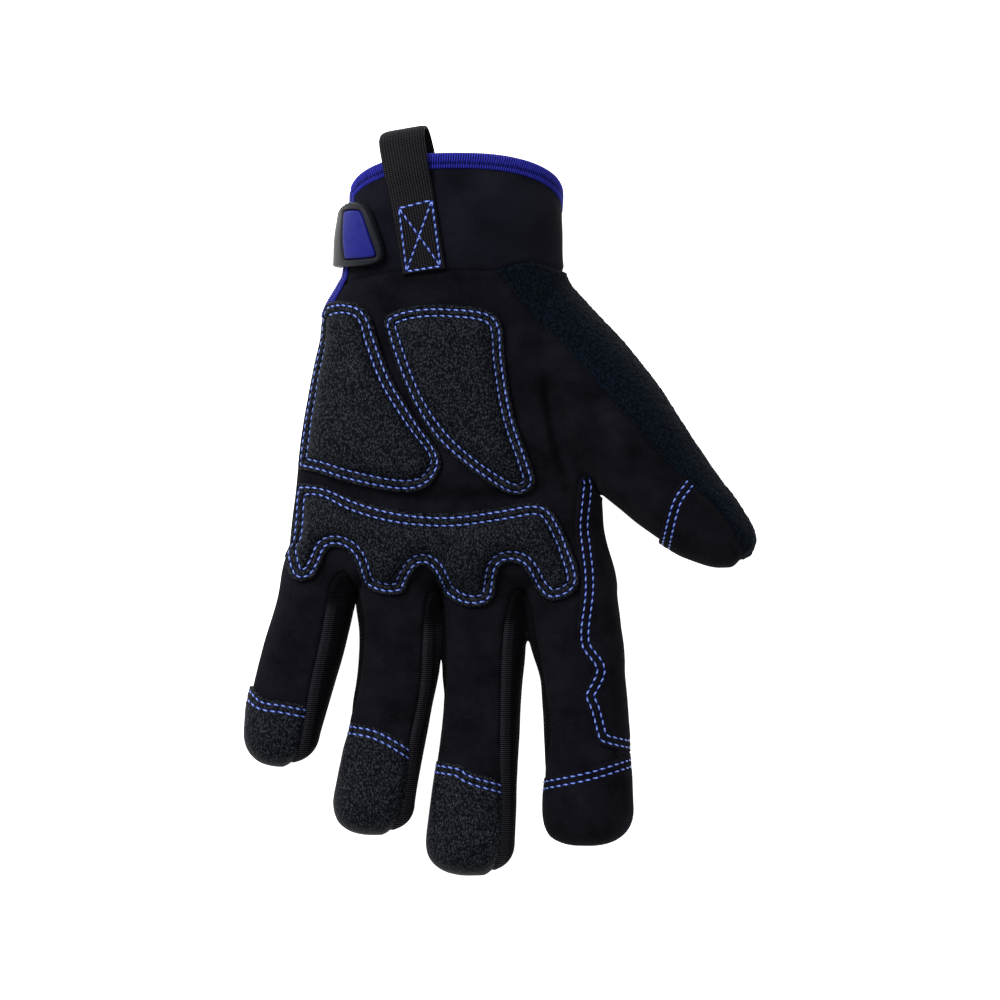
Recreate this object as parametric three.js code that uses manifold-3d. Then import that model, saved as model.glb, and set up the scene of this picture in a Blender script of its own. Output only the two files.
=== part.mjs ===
// Left-hand mechanic glove, lying on its back with the palm up.
// X runs across the hand toward the thumb, Y from the fingertips to the cuff, Z out of the palm.
// Before it is centred, the origin is on the wrist seam, under the middle of the cuff.
import * as THREE from 'three';
import { mergeVertices } from 'three/addons/utils/BufferGeometryUtils.js';
import Module from 'manifold-3d';

const wasm = await Module();
wasm.setup();

// Driving sizes, in millimetres
const HAND_LENGTH = 204.5; // wrist seam to middle fingertip
const PALM_WIDTH = 110; // across the knuckles
const PALM_DEPTH = 36; // heel of the hand, filled out
const FINGER_WIDTH = 27.8;
const FINGER_DEPTH = 21;
const FINGERTIP_LENGTH = 11; // the rounded end of a finger
const THUMB_WIDTH = 37;
const THUMB_DEPTH = 30;
const CUFF_LENGTH = 40; // wrist seam to the highest point of the rim
const CUFF_WIDTH = 72.5;
const CUFF_DEPTH = 46;
const HAND_WALL = 1.7; // suede, knit and terry walls
const CUFF_WALL = 2.8; // neoprene
const BINDING_WIDTH = 4.6;
const BINDING_THICKNESS = 1;
const SLIT_WIDTH = 3; // free gap of the cuff slit at the rim
const PAD_THICKNESS = 4.2; // middle of a pad
const PAD_EDGE_THICKNESS = 1.5; // where it is sewn down
const PAD_EDGE_WIDTH = 9; // from the sewn edge to the full thickness
const OVERLAY_THICKNESS = 1.1; // fingertip caps and index patch
const LOOP_WIDTH = 15;
const LOOP_THICKNESS = 1.4;
const LOOP_LENGTH = 47; // fold to the lower end of the sewn ply
const LOOP_INNER_LENGTH = 24; // fold to the end of the ply inside the cuff
const STRAP_THICKNESS = 1.8;
const TAB_THICKNESS = 2.4;
const TAB_BASE_THICKNESS = 1; // rubber left under the inset
const TAB_INSET_THICKNESS = 1.5;
const SIDE_SEAM_HEIGHT = 7; // where front panels meet the back panel
const SEAM_GAP = 0.3; // clearance between neighbouring pieces

// Number of sides and rows that the faceted forms are drawn with
const OUTER_SIDES = { palm: 28, finger: 12, thumb: 14 };
const INNER_SIDES = { palm: 18, finger: 12, thumb: 12 };
const PAD_SIDES = 36;
const PAD_ROW_STEP = 0.032; // share of the hand length

// A short table becomes a list of rows with named columns
function table(columns, rows) {
  const names = columns.split(' ');
  return rows.map((row) => Object.fromEntries(names.map((name, i) => [name, row[i]])));
}

// Cuff sections: y as a share of the cuff length, width of the cuff width, low and high of the cuff depth
const CUFF_ROWS = table('y width low high end', [
  [1.35, 0.99, 0.085, 1.0, 0],
  [0.61, 1.0, 0.085, 1.0, 0],
  [0.28, 1.02, 0.085, 0.95, 0],
  [0.0, 1.03, 0.085, 0.89, 0],
]);

// Palm sections: y at the little-finger edge and at the index edge as shares of the hand length,
// both edges as shares of the palm width, low and high as shares of the palm depth
// (a low edge below the surface that it lies on is pressed flat),
// end: how far the section takes part in the rounded end under the finger roots
const PALM_ROWS = table('yLeft yRight left right low high end', [
  [0.022, 0.022, -0.358, 0.346, 0.07, 1.1, 0],
  [0.066, 0.066, -0.398, 0.368, 0.01, 1.06, 0],
  [0.126, 0.126, -0.41, 0.389, -0.03, 1.02, 0],
  [0.186, 0.186, -0.432, 0.408, -0.03, 1.0, 0],
  [0.266, 0.266, -0.455, 0.43, -0.03, 0.96, 0],
  [0.346, 0.346, -0.473, 0.451, -0.03, 0.89, 0],
  [0.429, 0.429, -0.502, 0.473, -0.03, 0.82, 0],
  [0.478, 0.482, -0.522, 0.491, -0.03, 0.77, 0],
  [0.495, 0.507, -0.529, 0.504, -0.02, 0.72, 0.3],
  [0.507, 0.525, -0.529, 0.51, 0.03, 0.6, 0.7],
  [0.515, 0.535, -0.522, 0.504, 0.16, 0.42, 1],
]);

// Finger sections: y share of the hand length, x of the palm width,
// width of the finger width, height of the finger depth
const FINGER_COLUMNS = 'y x width height';
const FINGERS = {
  little: {
    tip: 0.82,
    tipX: -0.542,
    rows: table(FINGER_COLUMNS, [
      [0.458, -0.411, 0.93, 1.15],
      [0.545, -0.433, 0.94, 1.03],
      [0.628, -0.473, 0.98, 0.93],
      [0.711, -0.513, 0.94, 0.88],
      [0.766, -0.536, 0.87, 0.86],
    ]),
  },
  ring: {
    tip: 0.937,
    tipX: -0.243,
    rows: table(FINGER_COLUMNS, [
      [0.47, -0.167, 0.95, 1.2],
      [0.545, -0.175, 1.02, 1.12],
      [0.6, -0.17, 0.99, 1.03],
      [0.678, -0.179, 0.99, 0.98],
      [0.794, -0.219, 0.97, 0.95],
      [0.882, -0.248, 0.96, 0.92],
    ]),
  },
  middle: {
    tip: 1.0,
    tipX: 0.054,
    rows: table(FINGER_COLUMNS, [
      [0.47, 0.083, 0.97, 1.2],
      [0.611, 0.087, 0.98, 1.05],
      [0.711, 0.08, 0.96, 0.99],
      [0.844, 0.068, 1.0, 0.97],
      [0.947, 0.051, 1.05, 0.95],
    ]),
  },
  index: {
    tip: 0.953,
    tipX: 0.408,
    rows: table(FINGER_COLUMNS, [
      [0.462, 0.355, 1.06, 1.2],
      [0.595, 0.374, 1.1, 1.06],
      [0.678, 0.396, 1.0, 1.0],
      [0.777, 0.408, 1.01, 0.97],
      [0.897, 0.411, 1.08, 0.95],
    ]),
  },
};

// Thumb sections, square to its own slanted axis: centre x of the palm width, y of the hand length,
// width of the thumb width, low and high of the thumb depth, end as for the palm
const THUMB_AXIS = new THREE.Vector2(0.7, -0.714).normalize();
const THUMB_ROWS = table('x y width low high end', [
  [0.282, 0.054, 0.5, 0.03, 1.08, 0],
  [0.333, 0.121, 0.84, -0.02, 1.12, 0],
  [0.421, 0.19, 0.98, -0.03, 1.12, 0],
  [0.511, 0.259, 1.04, -0.03, 1.1, 0],
  [0.566, 0.3, 1.01, 0, 1.05, 0],
  [0.637, 0.346, 0.92, 0.05, 0.98, 0],
  [0.723, 0.394, 0.8, 0.08, 0.92, 0],
  [0.779, 0.42, 0.72, 0.1, 0.87, 0.2],
  [0.825, 0.443, 0.6, 0.13, 0.82, 0.4],
  [0.862, 0.458, 0.47, 0.17, 0.76, 0.7],
  [0.89, 0.469, 0.3, 0.24, 0.69, 0.9],
]);
const THUMB_TIP = { x: 0.908, y: 0.475, z: 0.46 };

// Outlines seen from above: x as a share of the palm width, y of the hand length below the wrist seam
const WRIST_SEAM = [
  [-0.8, 0.047], [-0.634, 0.047], [-0.34, 0.017], [-0.263, 0.008], [-0.17, 0.0],
  [0.124, 0.0], [0.185, -0.012], [0.232, -0.017], [0.334, -0.003], [1.2, -0.003],
];
const OUTLINES = {
  hypothenar: [
    [-0.395, 0.082], [-0.34, 0.056], [-0.275, 0.065], [-0.241, 0.108], [-0.195, 0.176],
    [-0.121, 0.243], [-0.053, 0.292], [-0.043, 0.326], [-0.093, 0.358], [-0.185, 0.363],
    [-0.325, 0.348], [-0.417, 0.333], [-0.52, 0.316], [-0.53, 0.279], [-0.53, 0.213],
    [-0.5, 0.138],
  ],
  thenar: [
    [-0.223, 0.07], [-0.139, 0.053], [-0.015, 0.051], [0.102, 0.06], [0.142, 0.088],
    [0.155, 0.146], [0.189, 0.238], [0.235, 0.312], [0.248, 0.352], [0.182, 0.369],
    [0.083, 0.343], [-0.025, 0.296], [-0.108, 0.238], [-0.167, 0.176], [-0.207, 0.113],
  ],
  knuckle: [
    [-0.54, 0.358], [-0.417, 0.352], [-0.309, 0.378], [-0.17, 0.397], [-0.015, 0.402],
    [0.139, 0.392], [0.247, 0.383], [0.3, 0.397], [0.349, 0.449], [0.383, 0.505],
    [0.359, 0.535], [0.294, 0.545], [0.25, 0.522], [0.21, 0.49], [0.17, 0.482],
    [0.133, 0.493], [0.114, 0.545], [0.046, 0.556], [-0.022, 0.538], [-0.071, 0.495],
    [-0.108, 0.487], [-0.139, 0.505], [-0.161, 0.532], [-0.226, 0.535], [-0.281, 0.517],
    [-0.312, 0.475], [-0.349, 0.458], [-0.389, 0.46], [-0.417, 0.492], [-0.473, 0.512],
    [-0.56, 0.502], [-0.57, 0.453], [-0.56, 0.395],
  ],
  fourchetteLittleRing: [
    [-0.345, 0.499], [-0.377, 0.515], [-0.393, 0.548], [-0.414, 0.611], [-0.442, 0.678],
    [-0.464, 0.744], [-0.482, 0.794], [-0.51, 0.839], [-0.411, 0.953], [-0.308, 0.953],
    [-0.33, 0.914], [-0.349, 0.877], [-0.336, 0.836], [-0.315, 0.794], [-0.298, 0.744],
    [-0.28, 0.678], [-0.272, 0.595], [-0.278, 0.542], [-0.3, 0.512],
  ],
  fourchetteRingMiddle: [
    [-0.06, 0.507], [-0.083, 0.528], [-0.093, 0.565], [-0.096, 0.611], [-0.105, 0.694],
    [-0.136, 0.777], [-0.148, 0.844], [-0.167, 0.897], [-0.207, 0.952], [-0.108, 1.017],
    [-0.005, 1.017], [-0.046, 0.973], [-0.052, 0.935], [-0.04, 0.877], [-0.021, 0.811],
    [-0.012, 0.744], [-0.008, 0.678], [-0.005, 0.611], [-0.005, 0.565], [-0.02, 0.52],
  ],
  fourchetteMiddleIndex: [
    [0.2, 0.509], [0.173, 0.526], [0.158, 0.565], [0.151, 0.611], [0.145, 0.678],
    [0.142, 0.811], [0.145, 0.877], [0.139, 0.96], [0.114, 1.02], [0.288, 1.02],
    [0.353, 0.97], [0.319, 0.937], [0.297, 0.902], [0.297, 0.86], [0.304, 0.811],
    [0.298, 0.744], [0.285, 0.678], [0.262, 0.611], [0.252, 0.565], [0.24, 0.526],
  ],
  thumbBackAbove: [
    [0.13, -0.06], [0.13, 0.002], [0.201, 0.047], [0.278, 0.093], [0.355, 0.133],
    [0.417, 0.171], [0.485, 0.213], [0.572, 0.262], [0.649, 0.312], [0.726, 0.349],
    [0.804, 0.387], [0.865, 0.429], [0.906, 0.465], [0.918, 0.528], [1.159, 0.528],
    [1.159, -0.06],
  ],
  thumbBackBelow: [
    [0.303, -0.06], [0.34, 0.047], [0.374, 0.121], [0.402, 0.188], [0.423, 0.262],
    [0.442, 0.329], [0.464, 0.374], [0.572, 0.478], [0.757, 0.545], [1.159, 0.545],
    [1.159, -0.06],
  ],
  capLittle: [
    [-0.7, 0.683], [-0.624, 0.689], [-0.59, 0.708], [-0.535, 0.713], [-0.461, 0.721],
    [-0.47, 0.769], [-0.485, 0.806], [-0.51, 0.87], [-0.7, 0.87],
  ],
  capRing: [
    [-0.36, 0.748], [-0.318, 0.749], [-0.247, 0.756], [-0.185, 0.772], [-0.142, 0.787],
    [-0.155, 0.852], [-0.167, 0.897], [-0.207, 0.97], [-0.402, 0.97], [-0.374, 0.877],
  ],
  capMiddle: [
    [-0.053, 0.814], [0.015, 0.819], [0.056, 0.832], [0.142, 0.846], [0.145, 0.877],
    [0.139, 0.96], [0.108, 1.045], [-0.077, 1.045], [-0.074, 0.944], [-0.065, 0.877],
  ],
  capIndex: [
    [0.294, 0.839], [0.417, 0.824], [0.532, 0.804], [0.6, 0.797], [0.6, 0.99],
    [0.343, 0.99], [0.309, 0.94], [0.287, 0.902], [0.284, 0.869],
  ],
  capThumb: [
    [0.726, 0.352], [0.686, 0.387], [0.658, 0.42], [0.64, 0.457], [0.64, 0.56],
    [0.918, 0.56], [0.906, 0.465], [0.865, 0.429], [0.804, 0.387],
  ],
  indexPatch: [
    [0.396, 0.339], [0.377, 0.362], [0.368, 0.399], [0.391, 0.45], [0.402, 0.505],
    [0.386, 0.56], [0.377, 0.59], [0.386, 0.628], [0.423, 0.658], [0.414, 0.678],
    [0.393, 0.704], [0.411, 0.731], [0.43, 0.772], [0.448, 0.786], [0.532, 0.794],
    [0.603, 0.789], [0.603, 0.578], [0.572, 0.478], [0.485, 0.375], [0.439, 0.349],
  ],
};

// Closure tab outlines: x as a share of the cuff width, y of the cuff length above the wrist seam
const TAB_OUTLINE = [
  [-0.516, 0.559], [-0.484, 0.585], [-0.437, 0.576], [-0.399, 0.508], [-0.371, 0.373],
  [-0.343, 0.229], [-0.338, 0.144], [-0.357, 0.093], [-0.408, 0.059], [-0.493, 0.042],
  [-0.64, 0.03], [-0.64, 0.559],
];
const TAB_INSET_OUTLINE = [
  [-0.512, 0.492], [-0.484, 0.517], [-0.437, 0.508], [-0.418, 0.424], [-0.394, 0.288],
  [-0.371, 0.169], [-0.385, 0.136], [-0.493, 0.11], [-0.62, 0.11], [-0.62, 0.475],
];
const TAB_LOWER_EDGE = 0.33; // share of the cuff depth where the tab meets the strap
const STRAP_SPAN = [0.07, 0.55]; // share of the cuff length
const STRAP_END = 0.15; // share of the cuff depth where the strap ends on the thumb side

// The rim rises on the palm side: z as a share of the cuff depth, y of the cuff length
const RIM_PROFILE = [[-0.2, 0.58], [0.5, 0.61], [0.78, 0.83], [1.0, 1.0], [1.5, 1.38]];

// The cuff slit runs down to the heel of the hand: y of the cuff length, z of the cuff depth
const SLIT_TOP = { y: 1.0, z: 0.6 };
const SLIT_FOOT = { y: -0.38, z: 0.47 };
const SLIT_REACH = 0.2; // share of the cuff width left of which the slit cuts

// Pull loop: middle of its fold, and the way that it runs toward the hand
const LOOP_FOLD = { x: -0.249, y: 1.19 };
const LOOP_RIM = 0.83; // height where the loop clears the binding, as a share of the cuff length
const LOOP_LEAN = 0.157; // sideways for each unit of length

const palmX = (share) => share * PALM_WIDTH;
const handY = (share) => -share * HAND_LENGTH;
const cuffX = (share) => share * CUFF_WIDTH;
const cuffY = (share) => share * CUFF_LENGTH;
const onHand = (points) => points.map(([x, y]) => new THREE.Vector2(palmX(x), handY(y)));
const onCuff = (points) => points.map(([x, y]) => new THREE.Vector2(cuffX(x), cuffY(y)));

// Solids are closed meshes with shared corners, turned the right way out
function solidFrom(positions, triangles) {
  let volume = 0;
  const corner = (i) => new THREE.Vector3().fromArray(positions, i * 3);
  for (let i = 0; i < triangles.length; i += 3) {
    const [a, b, c] = [0, 1, 2].map((k) => corner(triangles[i + k]));
    volume += a.dot(b.cross(c));
  }
  if (volume < 0) {
    for (let i = 0; i < triangles.length; i += 3) {
      [triangles[i], triangles[i + 1]] = [triangles[i + 1], triangles[i]];
    }
  }
  return new wasm.Manifold(new wasm.Mesh({
    numProp: 3,
    vertProperties: new Float32Array(positions),
    triVerts: new Uint32Array(triangles),
  }));
}

// A cut can leave a loose sliver beside the piece: the piece is the largest body
function largestBody(solid) {
  return solid.decompose().reduce((most, body) => (body.volume() > most.volume() ? body : most));
}

function solidFromGeometry(geometry) {
  geometry.deleteAttribute('normal');
  geometry.deleteAttribute('uv');
  const merged = mergeVertices(geometry, 1e-4);
  return solidFrom(Array.from(merged.attributes.position.array), Array.from(merged.index.array));
}

// Rings with equal numbers of points, joined in order; the ends close on one point each
function loft(rings, startPoint, endPoint) {
  const sides = rings[0].length;
  const positions = rings.flat().flatMap((p) => [p.x, p.y, p.z]);
  const triangles = [];
  const last = (rings.length - 1) * sides;
  const startIndex = rings.length * sides;
  positions.push(startPoint.x, startPoint.y, startPoint.z, endPoint.x, endPoint.y, endPoint.z);
  for (let i = 0; i < sides; i += 1) {
    const j = (i + 1) % sides;
    for (let r = 0; r < rings.length - 1; r += 1) {
      const a = r * sides + i;
      const b = r * sides + j;
      triangles.push(a, b, a + sides, b, b + sides, a + sides);
    }
    triangles.push(startIndex, j, i, startIndex + 1, last + i, last + j);
  }
  return solidFrom(positions, triangles);
}

const middleOf = (ring) => ring.reduce((sum, p) => sum.add(p), new THREE.Vector3()).divideScalar(ring.length);

// One section is flat below and rounded above. It is widest at a share of its height.
const WIDEST = 0.45;
const PALM_ROUND = { above: 2.3, below: 3.4 };
const FINGER_ROUND = { above: 2.4, below: 3 };
const FINGER_PRESS = 0.03; // share of the finger depth that is pressed flat where it lies

function sectionRing(section, round, sides, grow) {
  const { middle, across, half, low, high, forward, end } = section;
  const widest = low + (high - low) * WIDEST;
  const floor = Math.max(0, -(typeof grow === 'number' ? grow : 0));
  const place = (angle, extra) => {
    const c = Math.cos(angle);
    const s = Math.sin(angle);
    const power = 2 / (s >= 0 ? round.above : round.below);
    const side = Math.sign(c) * Math.abs(c) ** power * (half + extra);
    const lift = Math.sign(s) * Math.abs(s) ** power * ((s >= 0 ? high - widest : widest - low) + extra);
    const x = middle.x + across.x * side + forward.x * extra * end;
    const y = middle.y + across.y * side + forward.y * extra * end;
    return new THREE.Vector3(x, y, Math.max(floor, widest + lift));
  };
  return Array.from({ length: sides }, (_, i) => {
    const angle = (i * 2 * Math.PI) / sides;
    const plain = place(angle, 0);
    return place(angle, typeof grow === 'number' ? grow : grow(plain.x, plain.y));
  });
}

const TOWARD_FINGERS = new THREE.Vector2(0, -1);

function palmSections() {
  const cuffRows = CUFF_ROWS.map((row) => ({
    left: new THREE.Vector2(cuffX(-row.width / 2), cuffY(row.y)),
    right: new THREE.Vector2(cuffX(row.width / 2), cuffY(row.y)),
    low: row.low * CUFF_DEPTH,
    high: row.high * CUFF_DEPTH,
    end: row.end,
  }));
  const palmRows = PALM_ROWS.map((row) => ({
    left: new THREE.Vector2(palmX(row.left), handY(row.yLeft)),
    right: new THREE.Vector2(palmX(row.right), handY(row.yRight)),
    low: row.low * PALM_DEPTH,
    high: row.high * PALM_DEPTH,
    end: row.end,
  }));
  return [...cuffRows, ...palmRows];
}

// Extra sections between the rows, for the pads
function finer(rows) {
  const step = PAD_ROW_STEP * HAND_LENGTH;
  return rows.flatMap((row, i) => {
    const next = rows[i + 1];
    const count = next ? Math.ceil(row.left.distanceTo(next.left) / step) : 1;
    return Array.from({ length: count }, (_, k) => {
      const t = k / count;
      const mix = (name) => (next ? row[name] * (1 - t) + next[name] * t : row[name]);
      return {
        left: next ? row.left.clone().lerp(next.left, t) : row.left,
        right: next ? row.right.clone().lerp(next.right, t) : row.right,
        low: mix('low'),
        high: mix('high'),
        end: mix('end'),
      };
    });
  });
}

const sidesFor = (grow) => (grow < 0 ? INNER_SIDES : OUTER_SIDES);

function palmForm(grow, fine = false) {
  const rows = fine ? finer(palmSections()) : palmSections();
  const rings = rows.map((row) => {
    const width = row.right.clone().sub(row.left);
    return sectionRing({
      middle: row.left.clone().add(row.right).divideScalar(2),
      across: width.clone().normalize(),
      half: width.length() / 2,
      low: row.low,
      high: row.high,
      forward: TOWARD_FINGERS,
      end: row.end,
    }, PALM_ROUND, fine ? PAD_SIDES : sidesFor(grow).palm, grow);
  });
  return loft(rings, middleOf(rings[0]), middleOf(rings.at(-1)));
}

// The rounded end of a finger: how far out along it, and how much of the section is left
const TIP_STATIONS = [0.5, 0.8, 0.95];
const TIP_ROUND = 2.5;
const tipShare = (station) => (1 - station ** TIP_ROUND) ** (1 / TIP_ROUND);

function fingerSections(finger) {
  const rows = finger.rows.map((row) => ({
    x: palmX(row.x),
    y: handY(row.y),
    half: (row.width * FINGER_WIDTH) / 2,
    low: -FINGER_PRESS * FINGER_DEPTH,
    high: row.height * FINGER_DEPTH,
    end: 0,
  }));
  const lastRow = rows.at(-1);
  const tipY = handY(finger.tip);
  const tipRows = TIP_STATIONS.map((station) => {
    const share = tipShare(station);
    const along = (tipY + FINGERTIP_LENGTH) - FINGERTIP_LENGTH * station;
    const middle = lastRow.high * WIDEST;
    return {
      x: lastRow.x + (palmX(finger.tipX) - lastRow.x) * station,
      y: along,
      half: lastRow.half * share,
      low: middle * (1 - share),
      high: middle + (lastRow.high - middle) * share,
      end: station ** TIP_ROUND,
    };
  });
  return [...rows, ...tipRows];
}

function fingerForm(finger, grow) {
  const rings = fingerSections(finger).map((row) => sectionRing({
    ...row,
    middle: new THREE.Vector2(row.x, row.y),
    across: new THREE.Vector2(1, 0),
    forward: TOWARD_FINGERS,
  }, FINGER_ROUND, sidesFor(grow).finger, grow));
  const tipGrow = typeof grow === 'number' ? grow : 0;
  const lastRow = finger.rows.at(-1);
  const tipHeight = lastRow.height * FINGER_DEPTH * WIDEST;
  const tip = new THREE.Vector3(palmX(finger.tipX), handY(finger.tip) - tipGrow, tipHeight);
  return loft(rings, middleOf(rings[0]), tip);
}

function thumbForm(grow) {
  const across = new THREE.Vector2(-THUMB_AXIS.y, THUMB_AXIS.x);
  const rings = THUMB_ROWS.map((row) => sectionRing({
    middle: new THREE.Vector2(palmX(row.x), handY(row.y)),
    across,
    half: (row.width * THUMB_WIDTH) / 2,
    low: row.low * THUMB_DEPTH,
    high: row.high * THUMB_DEPTH,
    forward: THUMB_AXIS,
    end: row.end,
  }, FINGER_ROUND, sidesFor(grow).thumb, grow));
  const tipGrow = typeof grow === 'number' ? grow : 0;
  const tip = new THREE.Vector3(
    palmX(THUMB_TIP.x) + THUMB_AXIS.x * tipGrow,
    handY(THUMB_TIP.y) + THUMB_AXIS.y * tipGrow,
    THUMB_TIP.z * THUMB_DEPTH,
  );
  return loft(rings, middleOf(rings[0]), tip);
}

const join = (solids) => solids.reduce((sum, solid) => sum.add(solid));
const fingersForm = (grow) => join(Object.values(FINGERS).map((finger) => fingerForm(finger, grow)));
const handForm = (grow, fine = false) => join([palmForm(grow, fine), fingersForm(grow), thumbForm(grow)]);

// Straight-sided solids over an outline
const HIGH = 100;

function swell(points, distance) {
  const turn = Math.sign(THREE.ShapeUtils.area(points));
  return points.map((p, i) => {
    const before = points[(i + points.length - 1) % points.length];
    const after = points[(i + 1) % points.length];
    const edgeIn = p.clone().sub(before).normalize();
    const edgeOut = after.clone().sub(p).normalize();
    const normal = new THREE.Vector2(edgeIn.y + edgeOut.y, -edgeIn.x - edgeOut.x).normalize();
    const spread = Math.max(0.5, normal.dot(new THREE.Vector2(edgeIn.y, -edgeIn.x)));
    return p.clone().addScaledVector(normal, (turn * distance) / spread);
  });
}

function prism(points, low = -HIGH, high = HIGH) {
  const geometry = new THREE.ExtrudeGeometry(new THREE.Shape(points), {
    depth: high - low,
    bevelEnabled: false,
  });
  return solidFromGeometry(geometry.translate(0, 0, low));
}

// The same for an outline drawn in Y and Z, run along X
function crossPrism(points, left, right) {
  const geometry = new THREE.ExtrudeGeometry(new THREE.Shape(points), {
    depth: right - left,
    bevelEnabled: false,
  });
  const turned = new THREE.Matrix4().makeBasis(
    new THREE.Vector3(0, 1, 0),
    new THREE.Vector3(0, 0, 1),
    new THREE.Vector3(1, 0, 0),
  );
  return solidFromGeometry(geometry.applyMatrix4(turned).translate(left, 0, 0));
}

function level(low, high) {
  const reach = 8 * HIGH;
  return solidFromGeometry(new THREE.BoxGeometry(reach, reach, high - low)
    .translate(0, 0, (low + high) / 2));
}

// Wrist seam: everything toward the fingers, or everything toward the rim
function handSide(shift) {
  const seam = onHand(WRIST_SEAM).map((p) => p.setY(p.y + shift));
  return prism([...seam, new THREE.Vector2(seam.at(-1).x, -4 * HIGH), new THREE.Vector2(seam[0].x, -4 * HIGH)]);
}

function cuffSide(shift) {
  const seam = onHand(WRIST_SEAM).map((p) => p.setY(p.y + shift));
  return prism([...seam, new THREE.Vector2(seam.at(-1).x, HIGH), new THREE.Vector2(seam[0].x, HIGH)]);
}

function belowRim(shift) {
  const profile = RIM_PROFILE.map(([z, y]) => new THREE.Vector2(cuffY(y) + shift, z * CUFF_DEPTH));
  const back = -HIGH / 2;
  return crossPrism(
    [...profile, new THREE.Vector2(back, profile.at(-1).y), new THREE.Vector2(back, profile[0].y)],
    -HIGH,
    HIGH,
  );
}

// The slit is a long wedge, widest at the rim
function slit(grow) {
  const top = new THREE.Vector2(cuffY(SLIT_TOP.y), SLIT_TOP.z * CUFF_DEPTH);
  const foot = new THREE.Vector2(cuffY(SLIT_FOOT.y) - grow, SLIT_FOOT.z * CUFF_DEPTH - grow * 0.2);
  const half = SLIT_WIDTH / 2 + grow;
  const footHalf = SEAM_GAP / 2 + grow * 0.6;
  return crossPrism([
    new THREE.Vector2(foot.x, foot.y - footHalf),
    new THREE.Vector2(top.x, top.y - half),
    new THREE.Vector2(top.x, top.y + half),
    new THREE.Vector2(foot.x, foot.y + footHalf),
  ], -HIGH, -cuffX(SLIT_REACH));
}

// Walls and panels
const outside = handForm(0);
const wall = outside.subtract(handForm(-HAND_WALL));
const hand = wall.intersect(handSide(-SEAM_GAP)).subtract(slit(BINDING_THICKNESS + SEAM_GAP));
const frontLevel = level(SIDE_SEAM_HEIGHT + SEAM_GAP / 2, HIGH);
const backLevel = level(-HIGH, SIDE_SEAM_HEIGHT - SEAM_GAP / 2);
const outline = Object.fromEntries(Object.entries(OUTLINES).map(([name, points]) => [name, onHand(points)]));
const fourchettes = ['fourchetteLittleRing', 'fourchetteRingMiddle', 'fourchetteMiddleIndex'];

const palmPanel = [...fourchettes, 'thumbBackAbove'].reduce(
  (solid, name) => solid.subtract(prism(swell(outline[name], SEAM_GAP))),
  hand.intersect(frontLevel),
);
const backPanel = hand.intersect(backLevel).subtract(prism(swell(outline.thumbBackBelow, SEAM_GAP)));
const thumbAbove = prism(outline.thumbBackAbove, SIDE_SEAM_HEIGHT + SEAM_GAP / 2);
const thumbBelow = prism(outline.thumbBackBelow, -HIGH, SIDE_SEAM_HEIGHT - SEAM_GAP / 2);
const thumbSide = prism(outline.thumbBackAbove, SIDE_SEAM_HEIGHT - 1, SIDE_SEAM_HEIGHT + 1)
  .intersect(prism(outline.thumbBackBelow));
const thumbBack = hand.intersect(join([thumbAbove, thumbBelow, thumbSide]));
const fourchette = (name) => hand.intersect(frontLevel).intersect(prism(outline[name]));

// Cuff, its binding and what closes it
const rimWall = -BINDING_THICKNESS - SEAM_GAP;
const cuff = palmForm(0).subtract(palmForm(-CUFF_WALL))
  .intersect(cuffSide(0))
  .intersect(belowRim(rimWall))
  .subtract(slit(BINDING_THICKNESS + SEAM_GAP));
const bindingBand = palmForm(BINDING_THICKNESS).subtract(palmForm(-CUFF_WALL - BINDING_THICKNESS - SEAM_GAP));
const bindingEdges = belowRim(0).subtract(belowRim(-BINDING_WIDTH))
  .add(slit(BINDING_WIDTH).intersect(belowRim(0)))
  .subtract(slit(0));
const boundWall = palmForm(SEAM_GAP).subtract(palmForm(-CUFF_WALL - SEAM_GAP))
  .intersect(belowRim(-BINDING_THICKNESS))
  .subtract(slit(BINDING_THICKNESS));
const cuffBinding = bindingBand.intersect(bindingEdges).subtract(boundWall);

const tabLow = BINDING_THICKNESS + SEAM_GAP;
const tabFloor = palmForm(tabLow);
const tabSeat = palmForm(tabLow + TAB_BASE_THICKNESS);
const tabHeight = TAB_LOWER_EDGE * CUFF_DEPTH;
const tabOutline = onCuff(TAB_OUTLINE);
const insetOutline = onCuff(TAB_INSET_OUTLINE);
const insetHeight = tabHeight + TAB_THICKNESS;
const tabRecess = prism(swell(insetOutline, SEAM_GAP), insetHeight - SEAM_GAP).subtract(tabSeat);
const tabFrame = palmForm(tabLow + TAB_THICKNESS).subtract(tabFloor)
  .intersect(prism(tabOutline, tabHeight + SEAM_GAP))
  .subtract(tabRecess);
const tabInset = palmForm(tabLow + TAB_BASE_THICKNESS + SEAM_GAP + TAB_INSET_THICKNESS)
  .subtract(palmForm(tabLow + TAB_BASE_THICKNESS + SEAM_GAP))
  .intersect(prism(insetOutline, insetHeight));

const strapY = STRAP_SPAN.map(cuffY);
const strapReach = [
  [-HIGH, strapY[0]], [HIGH, strapY[0]], [HIGH, strapY[1]], [-HIGH, strapY[1]],
].map(([x, y]) => new THREE.Vector2(x, y));
const strapLeft = prism(strapReach, -HIGH, tabHeight);
const strapRightCut = prism([
  [0, -HIGH], [HIGH, -HIGH], [HIGH, HIGH], [0, HIGH],
].map(([x, y]) => new THREE.Vector2(x, y)), STRAP_END * CUFF_DEPTH);
const wristStrap = palmForm(tabLow + STRAP_THICKNESS).subtract(tabFloor)
  .intersect(strapLeft)
  .subtract(strapRightCut);

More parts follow.
